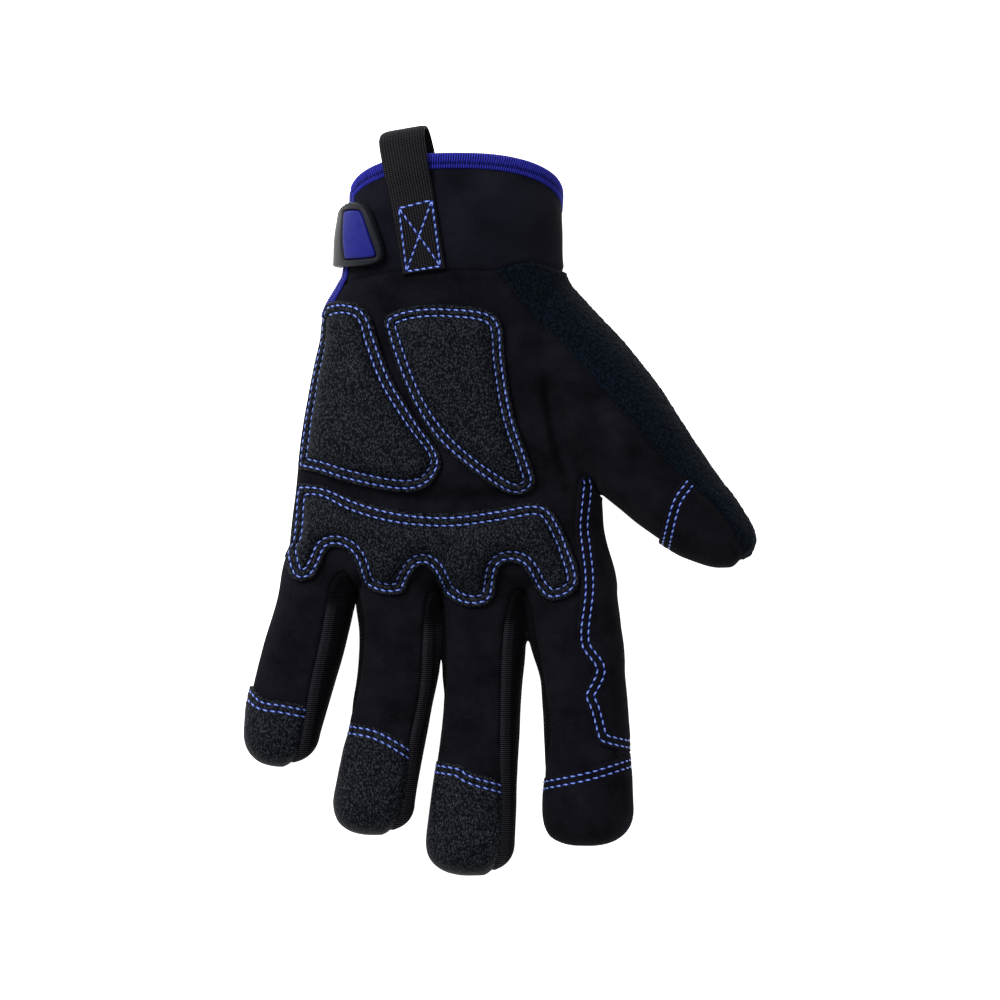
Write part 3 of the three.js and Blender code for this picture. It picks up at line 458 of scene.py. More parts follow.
# the binding's thickness, left free along every edge that it covers
BINDING_ROOM = 1.3 * MM
slit_top = np.array([WRIST_Y + CUFF_LENGTH, 0.57 * CUFF_DEPTH])
slit_foot = np.array([WRIST_Y - 0.38 * CUFF_LENGTH, 0.43 * CUFF_DEPTH])


def clear_of_slit(points, grow):
    """How far points are from the cuff's slit, a long wedge on the little-finger side."""
    foot, top = SLIT_FOOT_HALF + 0.6 * grow, SLIT_WIDTH / 2 + grow
    wedge = np.array([slit_foot - (grow, foot), slit_top - (-0.02, top),
                      slit_top + (0.02, top), slit_foot + (-grow, foot)])
    away = -inside(wedge, points[:, 1:])
    return np.where(points[:, 0] < WRIST_X - 0.2 * CUFF_WIDTH, away, 12 * MM)


rim_profile = np.array([(-0.2, 0.58), (0.35, 0.61), (0.55, 0.71), (0.78, 0.85), (1.0, 0.985), (1.5, 1.3)])


def rim_y(height):
    """The rim rises on the palm side."""
    return WRIST_Y + CUFF_LENGTH * np.interp(height / CUFF_DEPTH, rim_profile[:, 0], rim_profile[:, 1])


slit_clear = clear_of_slit(co, BINDING_ROOM)
panels = {
    "palm_panel": np.minimum.reduce([z - SIDE_SEAM_HEIGHT, hand_side, -thumb_side, slit_clear,
                                     *(-d for d in between.values())]),
    "back_panel": np.minimum.reduce([SIDE_SEAM_HEIGHT - z, hand_side, -thumb_side, slit_clear]),
    "thumb_back": np.minimum(thumb_side, hand_side),
    "cuff": np.minimum.reduce([-hand_side, 0.85 * (rim_y(z) - co[:, 1]) - BINDING_ROOM, slit_clear]),
}
for name, d in between.items():
    panels["fourchette_" + name] = np.minimum.reduce([d, z - SIDE_SEAM_HEIGHT, hand_side])
# thickness of each cloth in mm
walls = {"palm_panel": 1.2, "back_panel": 1.2, "thumb_back": 1.3, "cuff": 2.6}
KNIT_WALL = 1.1


def sewn(name, form, thickness, node):
    """A wall is given to a cut panel, and the panel takes its node's place."""
    co, no, tri = form
    obj = mesh_piece(name, co, tri)
    worked(obj, "SOLIDIFY", thickness=thickness * MM, offset=-1, use_even_offset=False)
    alone(obj)
    bpy.ops.object.shade_smooth_by_angle(angle=math.radians(50))
    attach(obj, "root")
    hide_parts(node)
    return obj


def paint(code):
    """A colour as seen on screen, as the shader's own values."""
    part = [int(code[i:i + 2], 16) / 255 for i in (1, 3, 5)]
    return tuple(c / 12.92 if c <= 0.04045 else ((c + 0.055) / 1.055) ** 2.4 for c in part) + (1,)


def node(tree, kind, sockets=None, stops=(), **settings):
    """Adds a node, with its settings, its values, its links and, for a colour ramp, its stops."""
    new = tree.nodes.new(kind)
    for key, value in settings.items():
        setattr(new, key, value)
    for key, value in (sockets or {}).items():
        if isinstance(value, bpy.types.NodeSocket):
            tree.links.new(value, new.inputs[key])
        else:
            new.inputs[key].default_value = value
    for number, (position, code) in enumerate(stops):
        elements = new.color_ramp.elements
        element = elements[number] if number < len(elements) else elements.new(position)
        element.position = position
        element.color = paint(code)
    return new


def finish_of(name, roughness, **sockets):
    """A new material and its surface shader."""
    material = bpy.data.materials.new(name)
    material.use_nodes = True
    shader = material.node_tree.nodes["Principled BSDF"]
    shader.inputs["Roughness"].default_value = roughness
    for key, value in sockets.items():
        shader.inputs[key.replace("_", " ")].default_value = value
    return material, material.node_tree, shader


def surfaced(tree, shader, pattern, stops, relief, strength, depth, invert=False):
    """A pattern colours the surface, and a relief of this depth roughens it."""
    colour = node(tree, "ShaderNodeValToRGB", {"Fac": pattern}, stops)
    bump = node(tree, "ShaderNodeBump", {"Strength": strength, "Distance": depth, "Height": relief}, invert=invert)
    tree.links.new(colour.outputs["Color"], shader.inputs["Base Color"])
    tree.links.new(bump.outputs["Normal"], shader.inputs["Normal"])


# Microfibre suede, brushed: near-black and matt, with a nap of 0.4 mm that catches light unevenly
# in patches of about 11 mm
suede, tree, shader = finish_of("suede", 0.95, Sheen_Weight=0.008, Sheen_Roughness=0.6, Specular_IOR_Level=0.012)
where = node(tree, "ShaderNodeTexCoord").outputs["Object"]
patches = node(tree, "ShaderNodeTexNoise", {"Vector": where, "Scale": 90, "Detail": 4, "Roughness": 0.6}).outputs["Fac"]
nap = node(tree, "ShaderNodeTexNoise", {"Vector": where, "Scale": 2600, "Detail": 3, "Roughness": 0.7}).outputs["Fac"]
both = node(tree, "ShaderNodeMix", {"Factor": 0.5, "A": patches, "B": nap}).outputs["Result"]
surfaced(tree, shader, both, [(0.36, "#050509"), (0.62, "#131319")],
         nap, strength=0.5, depth=0.00025)

# Stretch fabric, knitted: a smooth, close cloth with stitches 0.75 by 0.63 mm, drawn coarser than real
# ones so that they show
stretch, tree, shader = finish_of("stretch_fabric", 0.85, Sheen_Weight=0.015, Specular_IOR_Level=0.03)
where = node(tree, "ShaderNodeTexCoord").outputs["Object"]
knit = node(tree, "ShaderNodeTexWave", {"Vector": where, "Scale": 420, "Distortion": 0.6, "Detail": 1},
            bands_direction="X").outputs["Fac"]
rows_of = node(tree, "ShaderNodeTexWave", {"Vector": where, "Scale": 500, "Distortion": 0.6, "Detail": 1},
               bands_direction="Y").outputs["Fac"]
both = node(tree, "ShaderNodeMath", {0: knit, 1: rows_of}, operation="MULTIPLY").outputs["Value"]
surfaced(tree, shader, both, [(0.0, "#090a0f"), (1.0, "#1c1d25")],
         both, strength=0.6, depth=0.0002)

# Terry, woven: a deep bluish-black pile of loops 0.9 mm apart with fine fuzz; each loop's top is paler as painted
# highlight and the gaps between are dark as painted shade
terry, tree, shader = finish_of("terry", 0.98, Sheen_Weight=0.02, Sheen_Roughness=0.5, Specular_IOR_Level=0.02)
where = node(tree, "ShaderNodeTexCoord").outputs["Object"]
loops = node(tree, "ShaderNodeTexVoronoi", {"Vector": where, "Scale": 1100}).outputs["Distance"]
fuzz = node(tree, "ShaderNodeTexNoise", {"Vector": where, "Scale": 3200, "Detail": 2}).outputs["Fac"]
both = node(tree, "ShaderNodeMix", {"Factor": 0.35, "A": loops, "B": fuzz}).outputs["Result"]
surfaced(tree, shader, both, [(0.2, "#0f1722"), (0.6, "#04070c")],
         both, strength=0.9, depth=0.0005, invert=True)

# Ribbed knit: ribs 0.7 mm apart that run across the walls between the fingers, their crests lighter as painted
# highlight. The attribute read
# below is painted light on the ribs: 1 along the seam on walls facing +x, and 0 deeper down, near the finger roots and
# on walls facing -x, where the ribs are dimmed as painted shade.
rib, tree, shader = finish_of("ribbed_knit", 0.9, Sheen_Weight=0.01, Specular_IOR_Level=0.01)
where = node(tree, "ShaderNodeTexCoord").outputs["Object"]
ribs = node(tree, "ShaderNodeTexWave", {"Vector": where, "Scale": 450, "Distortion": 0.3, "Detail": 1},
            bands_direction="Y").outputs["Fac"]
painted_rib_light = node(tree, "ShaderNodeAttribute", attribute_name="painted_rib_light").outputs["Fac"]
both = node(tree, "ShaderNodeMath", {0: painted_rib_light, 1: 0.7, 2: 0.3}, operation="MULTIPLY_ADD").outputs["Value"]
both = node(tree, "ShaderNodeMath", {0: both, 1: ribs}, operation="MULTIPLY").outputs["Value"]
surfaced(tree, shader, both, [(0.1, "#030305"), (0.9, "#2c2c33")],
         ribs, strength=0.8, depth=0.0004)

# Neoprene, faced with a smooth matt jersey: an even near-black, slightly cloudy over 17 mm, with a yarn
# of 0.3 mm
neoprene, tree, shader = finish_of("neoprene", 0.85, Sheen_Weight=0.01, Specular_IOR_Level=0.015)
where = node(tree, "ShaderNodeTexCoord").outputs["Object"]
cloudy = node(tree, "ShaderNodeTexNoise", {"Vector": where, "Scale": 60, "Detail": 3}).outputs["Fac"]
fine = node(tree, "ShaderNodeTexNoise", {"Vector": where, "Scale": 3000, "Detail": 2}).outputs["Fac"]
both = node(tree, "ShaderNodeMix", {"Factor": 0.4, "A": cloudy, "B": fine}).outputs["Result"]
surfaced(tree, shader, both, [(0.35, "#0a0a11"), (0.65, "#16161e")],
         fine, strength=0.35, depth=0.00015)

finishes = {"palm_panel": (suede, "suede"), "back_panel": (stretch, "stretch_fabric"),
            "thumb_back": (terry, "terry"), "cuff": (neoprene, "neoprene")}
# neighbouring panels overlap a little, so that nothing shows through a seam
SEAM_OVERLAP = 0.12 * MM
FINGERTIPS_Y = WRIST_Y - 0.76 * HAND_LENGTH
THUMB_TIP_X = 74 * MM
dressed = {}
for name, field in panels.items():
    form, f = cut_out(skin, field + SEAM_OVERLAP)
    if name == "thumb_back":
        form, f = finer(form, f)
    co_, no_, tri_ = form
    no_ = no_ / np.linalg.norm(no_, axis=1, keepdims=True)
    # the cloth dips toward its seams, and the knit also rolls up beside them; less so at the tips
    dip = 0.85 * MM * (1 - eased((f + 0.25 * MM) / (1.7 * MM)))
    if name.startswith("fourchette"):
        dip = 0.6 * MM * (1 - eased(f / (0.5 * MM)))
        dip = dip - 0.45 * MM * np.exp(-((f - 1.1 * MM) / (0.8 * MM)) ** 2)
    dip *= eased((co_[:, 2] - 0.2 * MM) / (1.2 * MM))
    dip *= 1 - 0.6 * eased((FINGERTIPS_Y - co_[:, 1]) / (12 * MM))
    dip *= 1 - 0.6 * eased((co_[:, 0] - THUMB_TIP_X) / (9 * MM))
    co_ = co_ - no_ * dip[:, None]
    if name == "thumb_back":
        pile = lumps(co_, 1.5 * MM, 5) * 0.14 * MM + lumps(co_, 0.8 * MM, 6) * 0.20 * MM + 0.35 * MM
        pile *= eased(f / (1.2 * MM)) * eased((co_[:, 2] - 0.1 * MM) / (1.0 * MM))
        co_ = co_ + no_ * pile[:, None]
    material, slot = finishes.get(name, (rib, "ribbed_knit"))
    piece = sewn(name + "_cloth", (co_, no_, tri_), walls.get(name, KNIT_WALL), name)
    piece.data.materials.append(material)
    if name.startswith("fourchette"):
        # painted light on the ribs: full near the seam on walls facing +x, none on walls facing -x or within 9 mm of
        # the finger root, which stay in painted shade
        painted_rib_light_share = eased((3.6 * MM - f) / (1.2 * MM)) * eased(no_[:, 0] / 0.15 + 0.5)
        painted_rib_light_share *= eased((co_[:, 1].max() - 9 * MM - co_[:, 1]) / (6 * MM))
        painted_rib_light = piece.data.attributes.new("painted_rib_light", "FLOAT", "POINT")
        painted_rib_light.data.foreach_set("value", np.resize(painted_rib_light_share, len(piece.data.vertices)).astype(np.float32))
    dressed[name] = (co_, no_, tri_)
    if name == "palm_panel":
        palm_room = f


def top_at(y):
    """Height of the palm's upper face along the hand."""
    return np.maximum(np.interp(y, palm_fine[::-1, 0], palm_fine[::-1, 5]), 1.2 * FINGER_DEPTH)


def stuffed(name, form, over, under, node, material, angle=45):
    """A closed piece between two liftings of a cut form. Both are lengths along the surface normal."""
    co, no, tri = form
    no = no / np.linalg.norm(no, axis=1, keepdims=True)
    n = len(co)
    edges = np.vstack([tri[:, [0, 1]], tri[:, [1, 2]], tri[:, [2, 0]]])
    code = edges[:, 0] * n + edges[:, 1]
    free = edges[~np.isin(code, edges[:, 1] * n + edges[:, 0])]
    a, b = free.T
    top = co + no * np.reshape(over, (-1, 1))
    bottom = co + no * np.reshape(under, (-1, 1))
    bottom[:, 2] = np.maximum(bottom[:, 2], 0.1 * MM)
    tris = np.vstack([tri, tri[:, ::-1] + n, np.column_stack([b, a, a + n]), np.column_stack([b, a + n, b + n])])
    obj = mesh_piece(name, np.vstack([top, bottom]), tris)
    alone(obj)
    bpy.ops.object.shade_smooth_by_angle(angle=math.radians(angle))
    obj.data.materials.append(material)
    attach(obj, "root")
    if node:
        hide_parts(node)
    return obj, (top, normals(top, tri), tri)


def contours(form, field, level):
    """The lines on a form along which the field has this value: points and normals in order."""
    co, no, tri = form
    f = field - level
    f = np.where(np.abs(f) < 1e-7, 1e-7, f)
    plus = f > 0
    mixed = tri[(plus[tri].sum(1) % 3) > 0]
    pairs = np.stack([mixed[:, [0, 1]], mixed[:, [1, 2]], mixed[:, [2, 0]]], 1)
    crossed = plus[pairs[..., 0]] != plus[pairs[..., 1]]
    ends = np.sort(pairs[crossed].reshape(-1, 2), 1)
    edges, place = np.unique(ends, axis=0, return_inverse=True)
    links = place.reshape(-1, 2)
    a, b = edges.T
    t = (f[a] / (f[a] - f[b]))[:, None]
    points = co[a] * (1 - t) + co[b] * t
    upward = no[a] * (1 - t) + no[b] * t
    beside = {}
    for p, q in links.tolist():
        beside.setdefault(p, []).append(q)
        beside.setdefault(q, []).append(p)
    lines = []
    seen = set()
    starts = [k for k in beside if len(beside[k]) == 1] + list(beside)
    for start in starts:
        if start in seen:
            continue
        line = [start]
        seen.add(start)
        while True:
            onward = [k for k in beside[line[-1]] if k not in seen]
            if not onward:
                break
            line.append(onward[0])
            seen.add(onward[0])
        if line[0] in beside[line[-1]] and len(line) > 2:
            line.append(line[0])
        if len(line) > 8:
            lines.append((points[line], upward[line]))
    return lines


# Blue top stitching: a thick twisted polyester thread, in rows along every sewn edge. Each stitch is a short
# bowed length of thread that dips into the cloth at both ends; its colour has a painted highlight on the crown and
# painted shade at both ends and underneath.
STITCH_PITCH = 0.0026
THREAD_WIDTH = 0.00064
STEPS_A_STITCH = 24
thread_rows = []
thread, tree, shader = finish_of("blue_thread", 0.4, Specular_IOR_Level=0.2)
where = node(tree, "ShaderNodeUVMap", uv_map="along")
twist = node(tree, "ShaderNodeTexWave", {"Vector": where.outputs["UV"], "Scale": 0.55, "Distortion": 0.3},
             bands_direction="DIAGONAL").outputs["Fac"]
# the UV's second value is painted light: pale blue as painted highlight on each stitch's crown, deep blue as painted
# shade at its ends and underneath
painted_crown_light = node(tree, "ShaderNodeSeparateXYZ", {"Vector": where.outputs["UV"]}).outputs["Y"]
painted_crown_light = node(tree, "ShaderNodeMix", {"Factor": 0.25, "A": painted_crown_light, "B": twist}).outputs["Result"]
surfaced(tree, shader, painted_crown_light, [(0.12, "#050a36"), (0.5, "#1b318f"), (0.85, "#8299dc")],
         twist, strength=0.7, depth=0.0001)


def run_of(points):
    """Length along a line of points, up to each of them."""
    return np.concatenate([[0], np.cumsum(np.linalg.norm(np.diff(points, axis=0), axis=1))])


def turned_out(obj, angle):
    """Every face points outwards, and edges flatter than this angle look smooth."""
    alone(obj)
    bpy.ops.object.mode_set(mode="EDIT")
    bpy.ops.mesh.select_all(action="SELECT")
    bpy.ops.mesh.normals_make_consistent(inside=False)
    bpy.ops.object.mode_set(mode="OBJECT")
    bpy.ops.object.shade_smooth_by_angle(angle=math.radians(angle))


def mapped(obj, name, values):
    """A UV map from a pair of values for each vertex."""
    corner = np.empty(len(obj.data.loops), int)
    obj.data.loops.foreach_get("vertex_index", corner)
    layer = obj.data.uv_layers.new(name=name)
    layer.data.foreach_set("uv", np.asarray(values).astype(np.float32)[corner].ravel())


def spread(points, upward, step):
    """Evenly spaced stations along a line on the cloth."""
    smooth_points = points.copy()
    closed = np.allclose(points[0], points[-1])
    for _ in range(6):
        smooth_points[1:-1] = (smooth_points[:-2] + 2 * smooth_points[1:-1] + smooth_points[2:]) / 4
        if closed:
            smooth_points[0] = smooth_points[-1] = (smooth_points[-2] + 2 * smooth_points[0] + smooth_points[1]) / 4
    run = run_of(smooth_points)
    at = np.arange(0, run[-1], step)
    place = np.column_stack([np.interp(at, run, smooth_points[:, k]) for k in range(3)])
    up = np.column_stack([np.interp(at, run, upward[:, k]) for k in range(3)])
    return place, up / np.linalg.norm(up, axis=1, keepdims=True), run[-1]


def stitch_row(points, upward):
    """One stitch after another along a line."""
    step = STITCH_PITCH / STEPS_A_STITCH
    place, up, length = spread(points, upward, step)
    count = max(1, round(length / STITCH_PITCH))
    pitch = length / count
    along = np.array([0.0, 0.12, 0.3, 0.5, 0.7, 0.88, 1.0])
    rise = np.array([-0.5, -0.1, 0.25, 0.35, 0.25, -0.1, -0.5]) * THREAD_WIDTH / 2
    girth = np.array([0.7, 0.85, 1.0, 1.0, 1.0, 0.85, 0.7]) * THREAD_WIDTH / 2
    sides = 6
    angle = around(sides)
    for k in range(count):
        first = int(k * pitch / step)
        index = np.minimum(first + (along * pitch / step).round().astype(int), len(place) - 1)
        if index[-1] - index[0] < STEPS_A_STITCH // 2:
            continue
        middle = place[index]
        n = up[index]
        t = np.gradient(middle, axis=0)
        t /= np.linalg.norm(t, axis=1, keepdims=True)
        b = np.cross(t, n)
        lean = (along - 0.5)[:, None] * b * 0.35 * MM
        middle = middle + n * rise[:, None] + lean
        out = np.cos(angle)[None, :, None] * b[:, None] + np.sin(angle)[None, :, None] * n[:, None] * 0.85
        thread_rows.append(middle[:, None] + girth[:, None, None] * out)


def sew_threads(name):
    """All the rows sewn so far become one piece."""
    rings = np.array(thread_rows)
    count, stations, sides = rings.shape[:3]
    verts = rings.reshape(-1, 3)
    one = []
    for r in range(stations - 1):
        for i in range(sides):
            j = (i + 1) % sides
            one.append((r * sides + i, r * sides + j, (r + 1) * sides + j, (r + 1) * sides + i))
    size = stations * sides
    quads = (np.array(one)[None] + np.arange(count)[:, None, None] * size).reshape(-1, 4)
    start = np.arange(sides)[::-1]
    caps = np.vstack([start[None] + np.arange(count)[:, None] * size,
                      (np.arange(sides) + size - sides)[None] + np.arange(count)[:, None] * size])
    obj = mesh_piece(name, verts, [*quads.tolist(), *caps.tolist()])
    turned_out(obj, 70)
    vertex = np.arange(len(verts))
    station = vertex % size // sides
    # painted highlight on the top and middle of each stitch, painted shade toward its ends and underside, stored in the
    # UV map
    painted_crown_light = np.array([0, 0.3, 0.85, 1, 0.85, 0.3, 0])[station]
    painted_crown_light = painted_crown_light * (0.5 + 0.55 * np.sin(vertex % sides * 2 * math.pi / sides))
    mapped(obj, "along", np.column_stack([station * STITCH_PITCH / MM / (stations - 1), painted_crown_light]))
    obj.data.materials.append(thread)
    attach(obj, "root")
    thread_rows.clear()


# The pads: foam under pebbled synthetic leather, sewn down twice round the edge.
# The foam swells between the inner stitches, and the edge beyond the outer row stays thin.
PAD_THICKNESS = 0.0042
PAD_EDGE_THICKNESS = 0.0015
STITCH_ROWS = (0.0015, 0.0038)
pad_outlines = {
    "hypothenar_pad": [
        (-0.46, 0.09), (-0.43, 0.068), (-0.36, 0.05), (-0.29, 0.055), (-0.254, 0.078), (-0.238, 0.112),
        (-0.195, 0.176), (-0.121, 0.243), (-0.053, 0.292), (-0.043, 0.326), (-0.093, 0.358), (-0.185, 0.363),
        (-0.325, 0.348), (-0.417, 0.333), (-0.55, 0.316), (-0.57, 0.279), (-0.56, 0.213), (-0.53, 0.138)],
    "thenar_pad": [
        (-0.214, 0.076), (-0.135, 0.058), (-0.015, 0.055), (0.102, 0.064), (0.144, 0.090),
        (0.153, 0.146), (0.182, 0.238), (0.229, 0.312), (0.244, 0.352), (0.182, 0.369),
        (0.083, 0.343), (-0.025, 0.296), (-0.108, 0.238), (-0.163, 0.176), (-0.2, 0.116)],
    "knuckle_pad": [
        (-0.54, 0.358), (-0.417, 0.352), (-0.309, 0.378), (-0.17, 0.397), (-0.015, 0.402),
        (0.139, 0.392), (0.247, 0.383), (0.3, 0.397), (0.349, 0.449), (0.383, 0.505),
        (0.359, 0.535), (0.294, 0.545), (0.25, 0.522), (0.21, 0.49), (0.17, 0.482),
        (0.133, 0.493), (0.114, 0.545), (0.046, 0.556), (-0.022, 0.538), (-0.071, 0.495),
        (-0.108, 0.487), (-0.139, 0.505), (-0.161, 0.532), (-0.226, 0.535), (-0.281, 0.517),
        (-0.312, 0.475), (-0.349, 0.458), (-0.389, 0.46), (-0.415, 0.488), (-0.44, 0.508),
        (-0.48, 0.513), (-0.508, 0.497), (-0.524, 0.45), (-0.54, 0.395)],
}
# Synthetic leather, embossed: a matt black grain of pebbles under 1 mm with random specks; each pebble's top is paler
# as painted highlight and the hollows between are dark as painted shade
pebbled, tree, shader = finish_of("pebbled_leather", 0.65, Specular_IOR_Level=0.035)
where = node(tree, "ShaderNodeTexCoord").outputs["Object"]
placed = node(tree, "ShaderNodeMapping", {"Vector": where, "Scale": (1.25, 0.8, 1.0)}).outputs["Vector"]
pebble = node(tree, "ShaderNodeTexVoronoi", {"Vector": placed, "Scale": 1350, "Randomness": 1.0}).outputs["Distance"]
specks = node(tree, "ShaderNodeTexNoise",
              {"Vector": placed, "Scale": 1500, "Detail": 1, "Roughness": 0.5}).outputs["Fac"]
both = node(tree, "ShaderNodeMix", {"Factor": 0.5, "A": pebble, "B": specks}).outputs["Result"]
surfaced(tree, shader, both, [(0.32, "#2e3138"), (0.44, "#171a1f"), (0.58, "#06070b")],
         both, strength=0.8, depth=0.0003, invert=True)

palm = dressed["palm_panel"]
palm_xy = palm[0][:, :2]


def groove(f, at, width, depth):
    """How far a row of stitches, at this distance from the edge, pulls the cloth down."""
    return depth * np.exp(-((f - at) / width) ** 2)


for name, outline in pad_outlines.items():
    d = inside(rounded(on_hand(outline)), palm_xy)
    # a pad stops where the hand rounds over, and short of the panel's own seams
    side = 1.25 * (palm[0][:, 2] - 0.6 * top_at(palm[0][:, 1]))
    form, f = cut_out(palm, np.minimum.reduce([d, side, palm_room - 0.6 * MM]))
    form, f = finer(form, f)
    share = np.clip((f - STITCH_ROWS[1] - 0.2 * MM) / (5.5 * MM), 0, 1)
    over = (0.3 * MM + PAD_EDGE_THICKNESS * (0.55 + 0.45 * eased(f / (0.6 * MM)))
            + (PAD_THICKNESS - PAD_EDGE_THICKNESS) * (1 - (1 - share) ** 2.2))
    over -= groove(f, STITCH_ROWS[0], 0.42 * MM, 0.55 * MM) + groove(f, STITCH_ROWS[1], 0.5 * MM, 0.7 * MM)
    over += groove(f, sum(STITCH_ROWS) / 2, 0.8 * MM, 0.15 * MM)
    over += (0.22 * lumps(form[0], 9 * MM, 8) + 0.12 * lumps(form[0], 4 * MM, 9)) * MM * eased(f / (6 * MM))
    obj, top = stuffed(name + "_leather", form, over, np.full(len(f), 0.2 * MM), name, pebbled)
    for row in STITCH_ROWS:
        for points, upward in contours(top, f, row):
            stitch_row(points, upward)

# Fingertip caps and the patch beside the index finger: single thin layers, sewn down with two rows.
# Three caps are pebbled like the pads; the index and thumb caps and the patch are plain suede.
OVERLAY_THICKNESS = 0.0011
# rows of stitches are left out below this height, where the edge is sewn into the side seam
STITCH_FLOOR = 9 * MM
PLAIN_OVERLAYS = ("cap_index", "cap_thumb", "index_patch")
cap_outlines = {
    "cap_little": [
        (-0.7, 0.683), (-0.624, 0.689), (-0.59, 0.708), (-0.535, 0.713), (-0.43, 0.724),
        (-0.43, 0.87), (-0.7, 0.87)],
    "cap_ring": [
        (-0.44, 0.748), (-0.318, 0.749), (-0.247, 0.756), (-0.185, 0.772), (-0.11, 0.797),
        (-0.11, 0.97), (-0.44, 0.97)],
    "cap_middle": [
        (-0.1, 0.81), (0.015, 0.819), (0.056, 0.832), (0.17, 0.85), (0.2, 0.877),
        (0.2, 1.045), (-0.12, 1.045), (-0.12, 0.9)],
    "cap_index": [
        (0.24, 0.848), (0.294, 0.839), (0.417, 0.824), (0.5, 0.809), (0.56, 0.796), (0.66, 0.778),
        (0.66, 0.99), (0.24, 0.99)],
    "cap_thumb": [
        (0.712, 0.338), (0.700, 0.347), (0.678, 0.362), (0.660, 0.381), (0.645, 0.412), (0.633, 0.449),
        (0.628, 0.49), (0.62, 0.6), (1.0, 0.6), (1.0, 0.33)],
}
index_patch = [
    (0.395, 0.337), (0.382, 0.350), (0.378, 0.370), (0.369, 0.420), (0.377, 0.460), (0.386, 0.495),
    (0.388, 0.533), (0.379, 0.578), (0.376, 0.600), (0.384, 0.628), (0.423, 0.658), (0.414, 0.678),
    (0.393, 0.704), (0.411, 0.731), (0.430, 0.772), (0.448, 0.786), (0.532, 0.799),
    (0.603, 0.807), (0.603, 0.578), (0.560, 0.478), (0.475, 0.400), (0.445, 0.368), (0.420, 0.342)]
# the sewn edge of each cap and of the patch, from one seam to the other
cap_edges = {
    "cap_little": [(-0.66, 0.684), (-0.624, 0.689), (-0.59, 0.708), (-0.535, 0.713), (-0.45, 0.722)],
    "cap_ring": [(-0.40, 0.748), (-0.318, 0.749), (-0.247, 0.756), (-0.185, 0.772), (-0.12, 0.795)],
    "cap_middle": [(-0.08, 0.812), (0.015, 0.819), (0.056, 0.832), (0.17, 0.85)],
    "cap_index": [(0.26, 0.845), (0.294, 0.839), (0.417, 0.824), (0.532, 0.804), (0.64, 0.79)],
    "cap_thumb": [(0.712, 0.338), (0.700, 0.347), (0.678, 0.362), (0.660, 0.381), (0.645, 0.412), (0.633, 0.449),
                  (0.628, 0.49)],
    "index_patch": index_patch[1:18],
}
# beyond its last stitches the patch runs on under the index cap
patch_outline = index_patch[:16] + [(0.498, 0.794), (0.510, 0.826), (0.603, 0.826)] + index_patch[18:]
for name, outline in {**cap_outlines, "index_patch": patch_outline}.items():
    d = inside(on_hand(outline), palm_xy)
    form, f = cut_out((np.column_stack([palm[0], palm_room]), palm[1], palm[2]), d)
    form, f = finer(form, f)
    room = form[0][:, 3]
    form = (form[0][:, :3], form[1], form[2])
    edge, _ = to_line(on_hand(through(cap_edges[name], 4)), form[0][:, :2], False)
    over = 0.15 * MM + OVERLAY_THICKNESS * (0.6 + 0.4 * eased(edge / (0.5 * MM)))
    over -= groove(edge, STITCH_ROWS[0], 0.4 * MM, 0.35 * MM) + groove(edge, STITCH_ROWS[1], 0.4 * MM, 0.35 * MM)
    over += 0.12 * MM * lumps(form[0], 5 * MM, 12)
    over *= 0.15 + 0.85 * eased(room / (3.2 * MM))
    if name == "cap_index":
        over += 0.12 * MM
    plain = name in PLAIN_OVERLAYS
    obj, top = stuffed(name + "_layer", form, over, np.full(len(f), 0.05 * MM), name,
                       suede if plain else pebbled)
    for row in STITCH_ROWS:
        for points, upward in contours(top, edge, row):
            keep = points[:, 2] > STITCH_FLOOR
            if name == "index_patch":
                keep &= inside(on_hand(index_patch), points[:, :2]) > 0
            if keep.sum() > 8:
                stitch_row(points[keep], upward[keep])
sew_threads("top_stitching")


# Royal blue overlock binding: close turns of polyester thread over the rim and both edges of the slit,
# with a chain of loops along its lower edge. The helpers below give the cuff's own surface, which it and
# the pull loop follow.
BINDING_WIDTH = 0.0046
THREAD_PITCH = 0.00082
ABOVE, BELOW = PALM_ROUND


def cuff_rows_at(y):
    """Left, right, low, widest height and high of the cuff at y."""
    rows = palm_fine[::-1]
    x0, x1, low, high = (np.interp(y, rows[:, 0], rows[:, k]) for k in (2, 3, 4, 5))
    return x0, x1, low, low + (high - low) * WIDEST, high


def cuff_face(y, angle, grow=0.0):
    """Points on the cuff by angle round it and place along it."""
    x0, x1, low, widest, high = cuff_rows_at(y)
    c, s = np.cos(angle), np.sin(angle)
    power = np.where(s >= 0, 2 / ABOVE, 2 / BELOW)
    side = np.sign(c) * np.abs(c) ** power * ((x1 - x0) / 2 + grow)
    lift = np.sign(s) * np.abs(s) ** power * (np.where(s >= 0, high - widest, widest - low) + grow)
    return np.stack([(x0 + x1) / 2 + side, y + 0 * side, np.maximum(0, widest + lift)], -1)


def outside_by(p):
    """Above zero outside the cuff's surface, below zero inside."""
    x0, x1, low, widest, high = cuff_rows_at(p[..., 1])
    side = np.abs(p[..., 0] - (x0 + x1) / 2) / ((x1 - x0) / 2)
    up = (p[..., 2] - widest) / (high - widest)
    down = (widest - p[..., 2]) / (widest - low)
    return np.where(up >= 0, side ** ABOVE + np.maximum(up, 0) ** ABOVE,
                    side ** BELOW + np.maximum(down, 0) ** BELOW) - 1


def settled(p, outward):
    """Points moved along their outward directions onto the cuff's surface."""
    for _ in range(3):
        now = outside_by(p)
        then = outside_by(p + outward * 0.05 * MM)
        step = now * 0.05 * MM / np.where(np.abs(then - now) < 1e-9, 1e-9, then - now)
        p = p - outward * np.clip(step, -1 * MM, 1 * MM)[..., None]
    return p


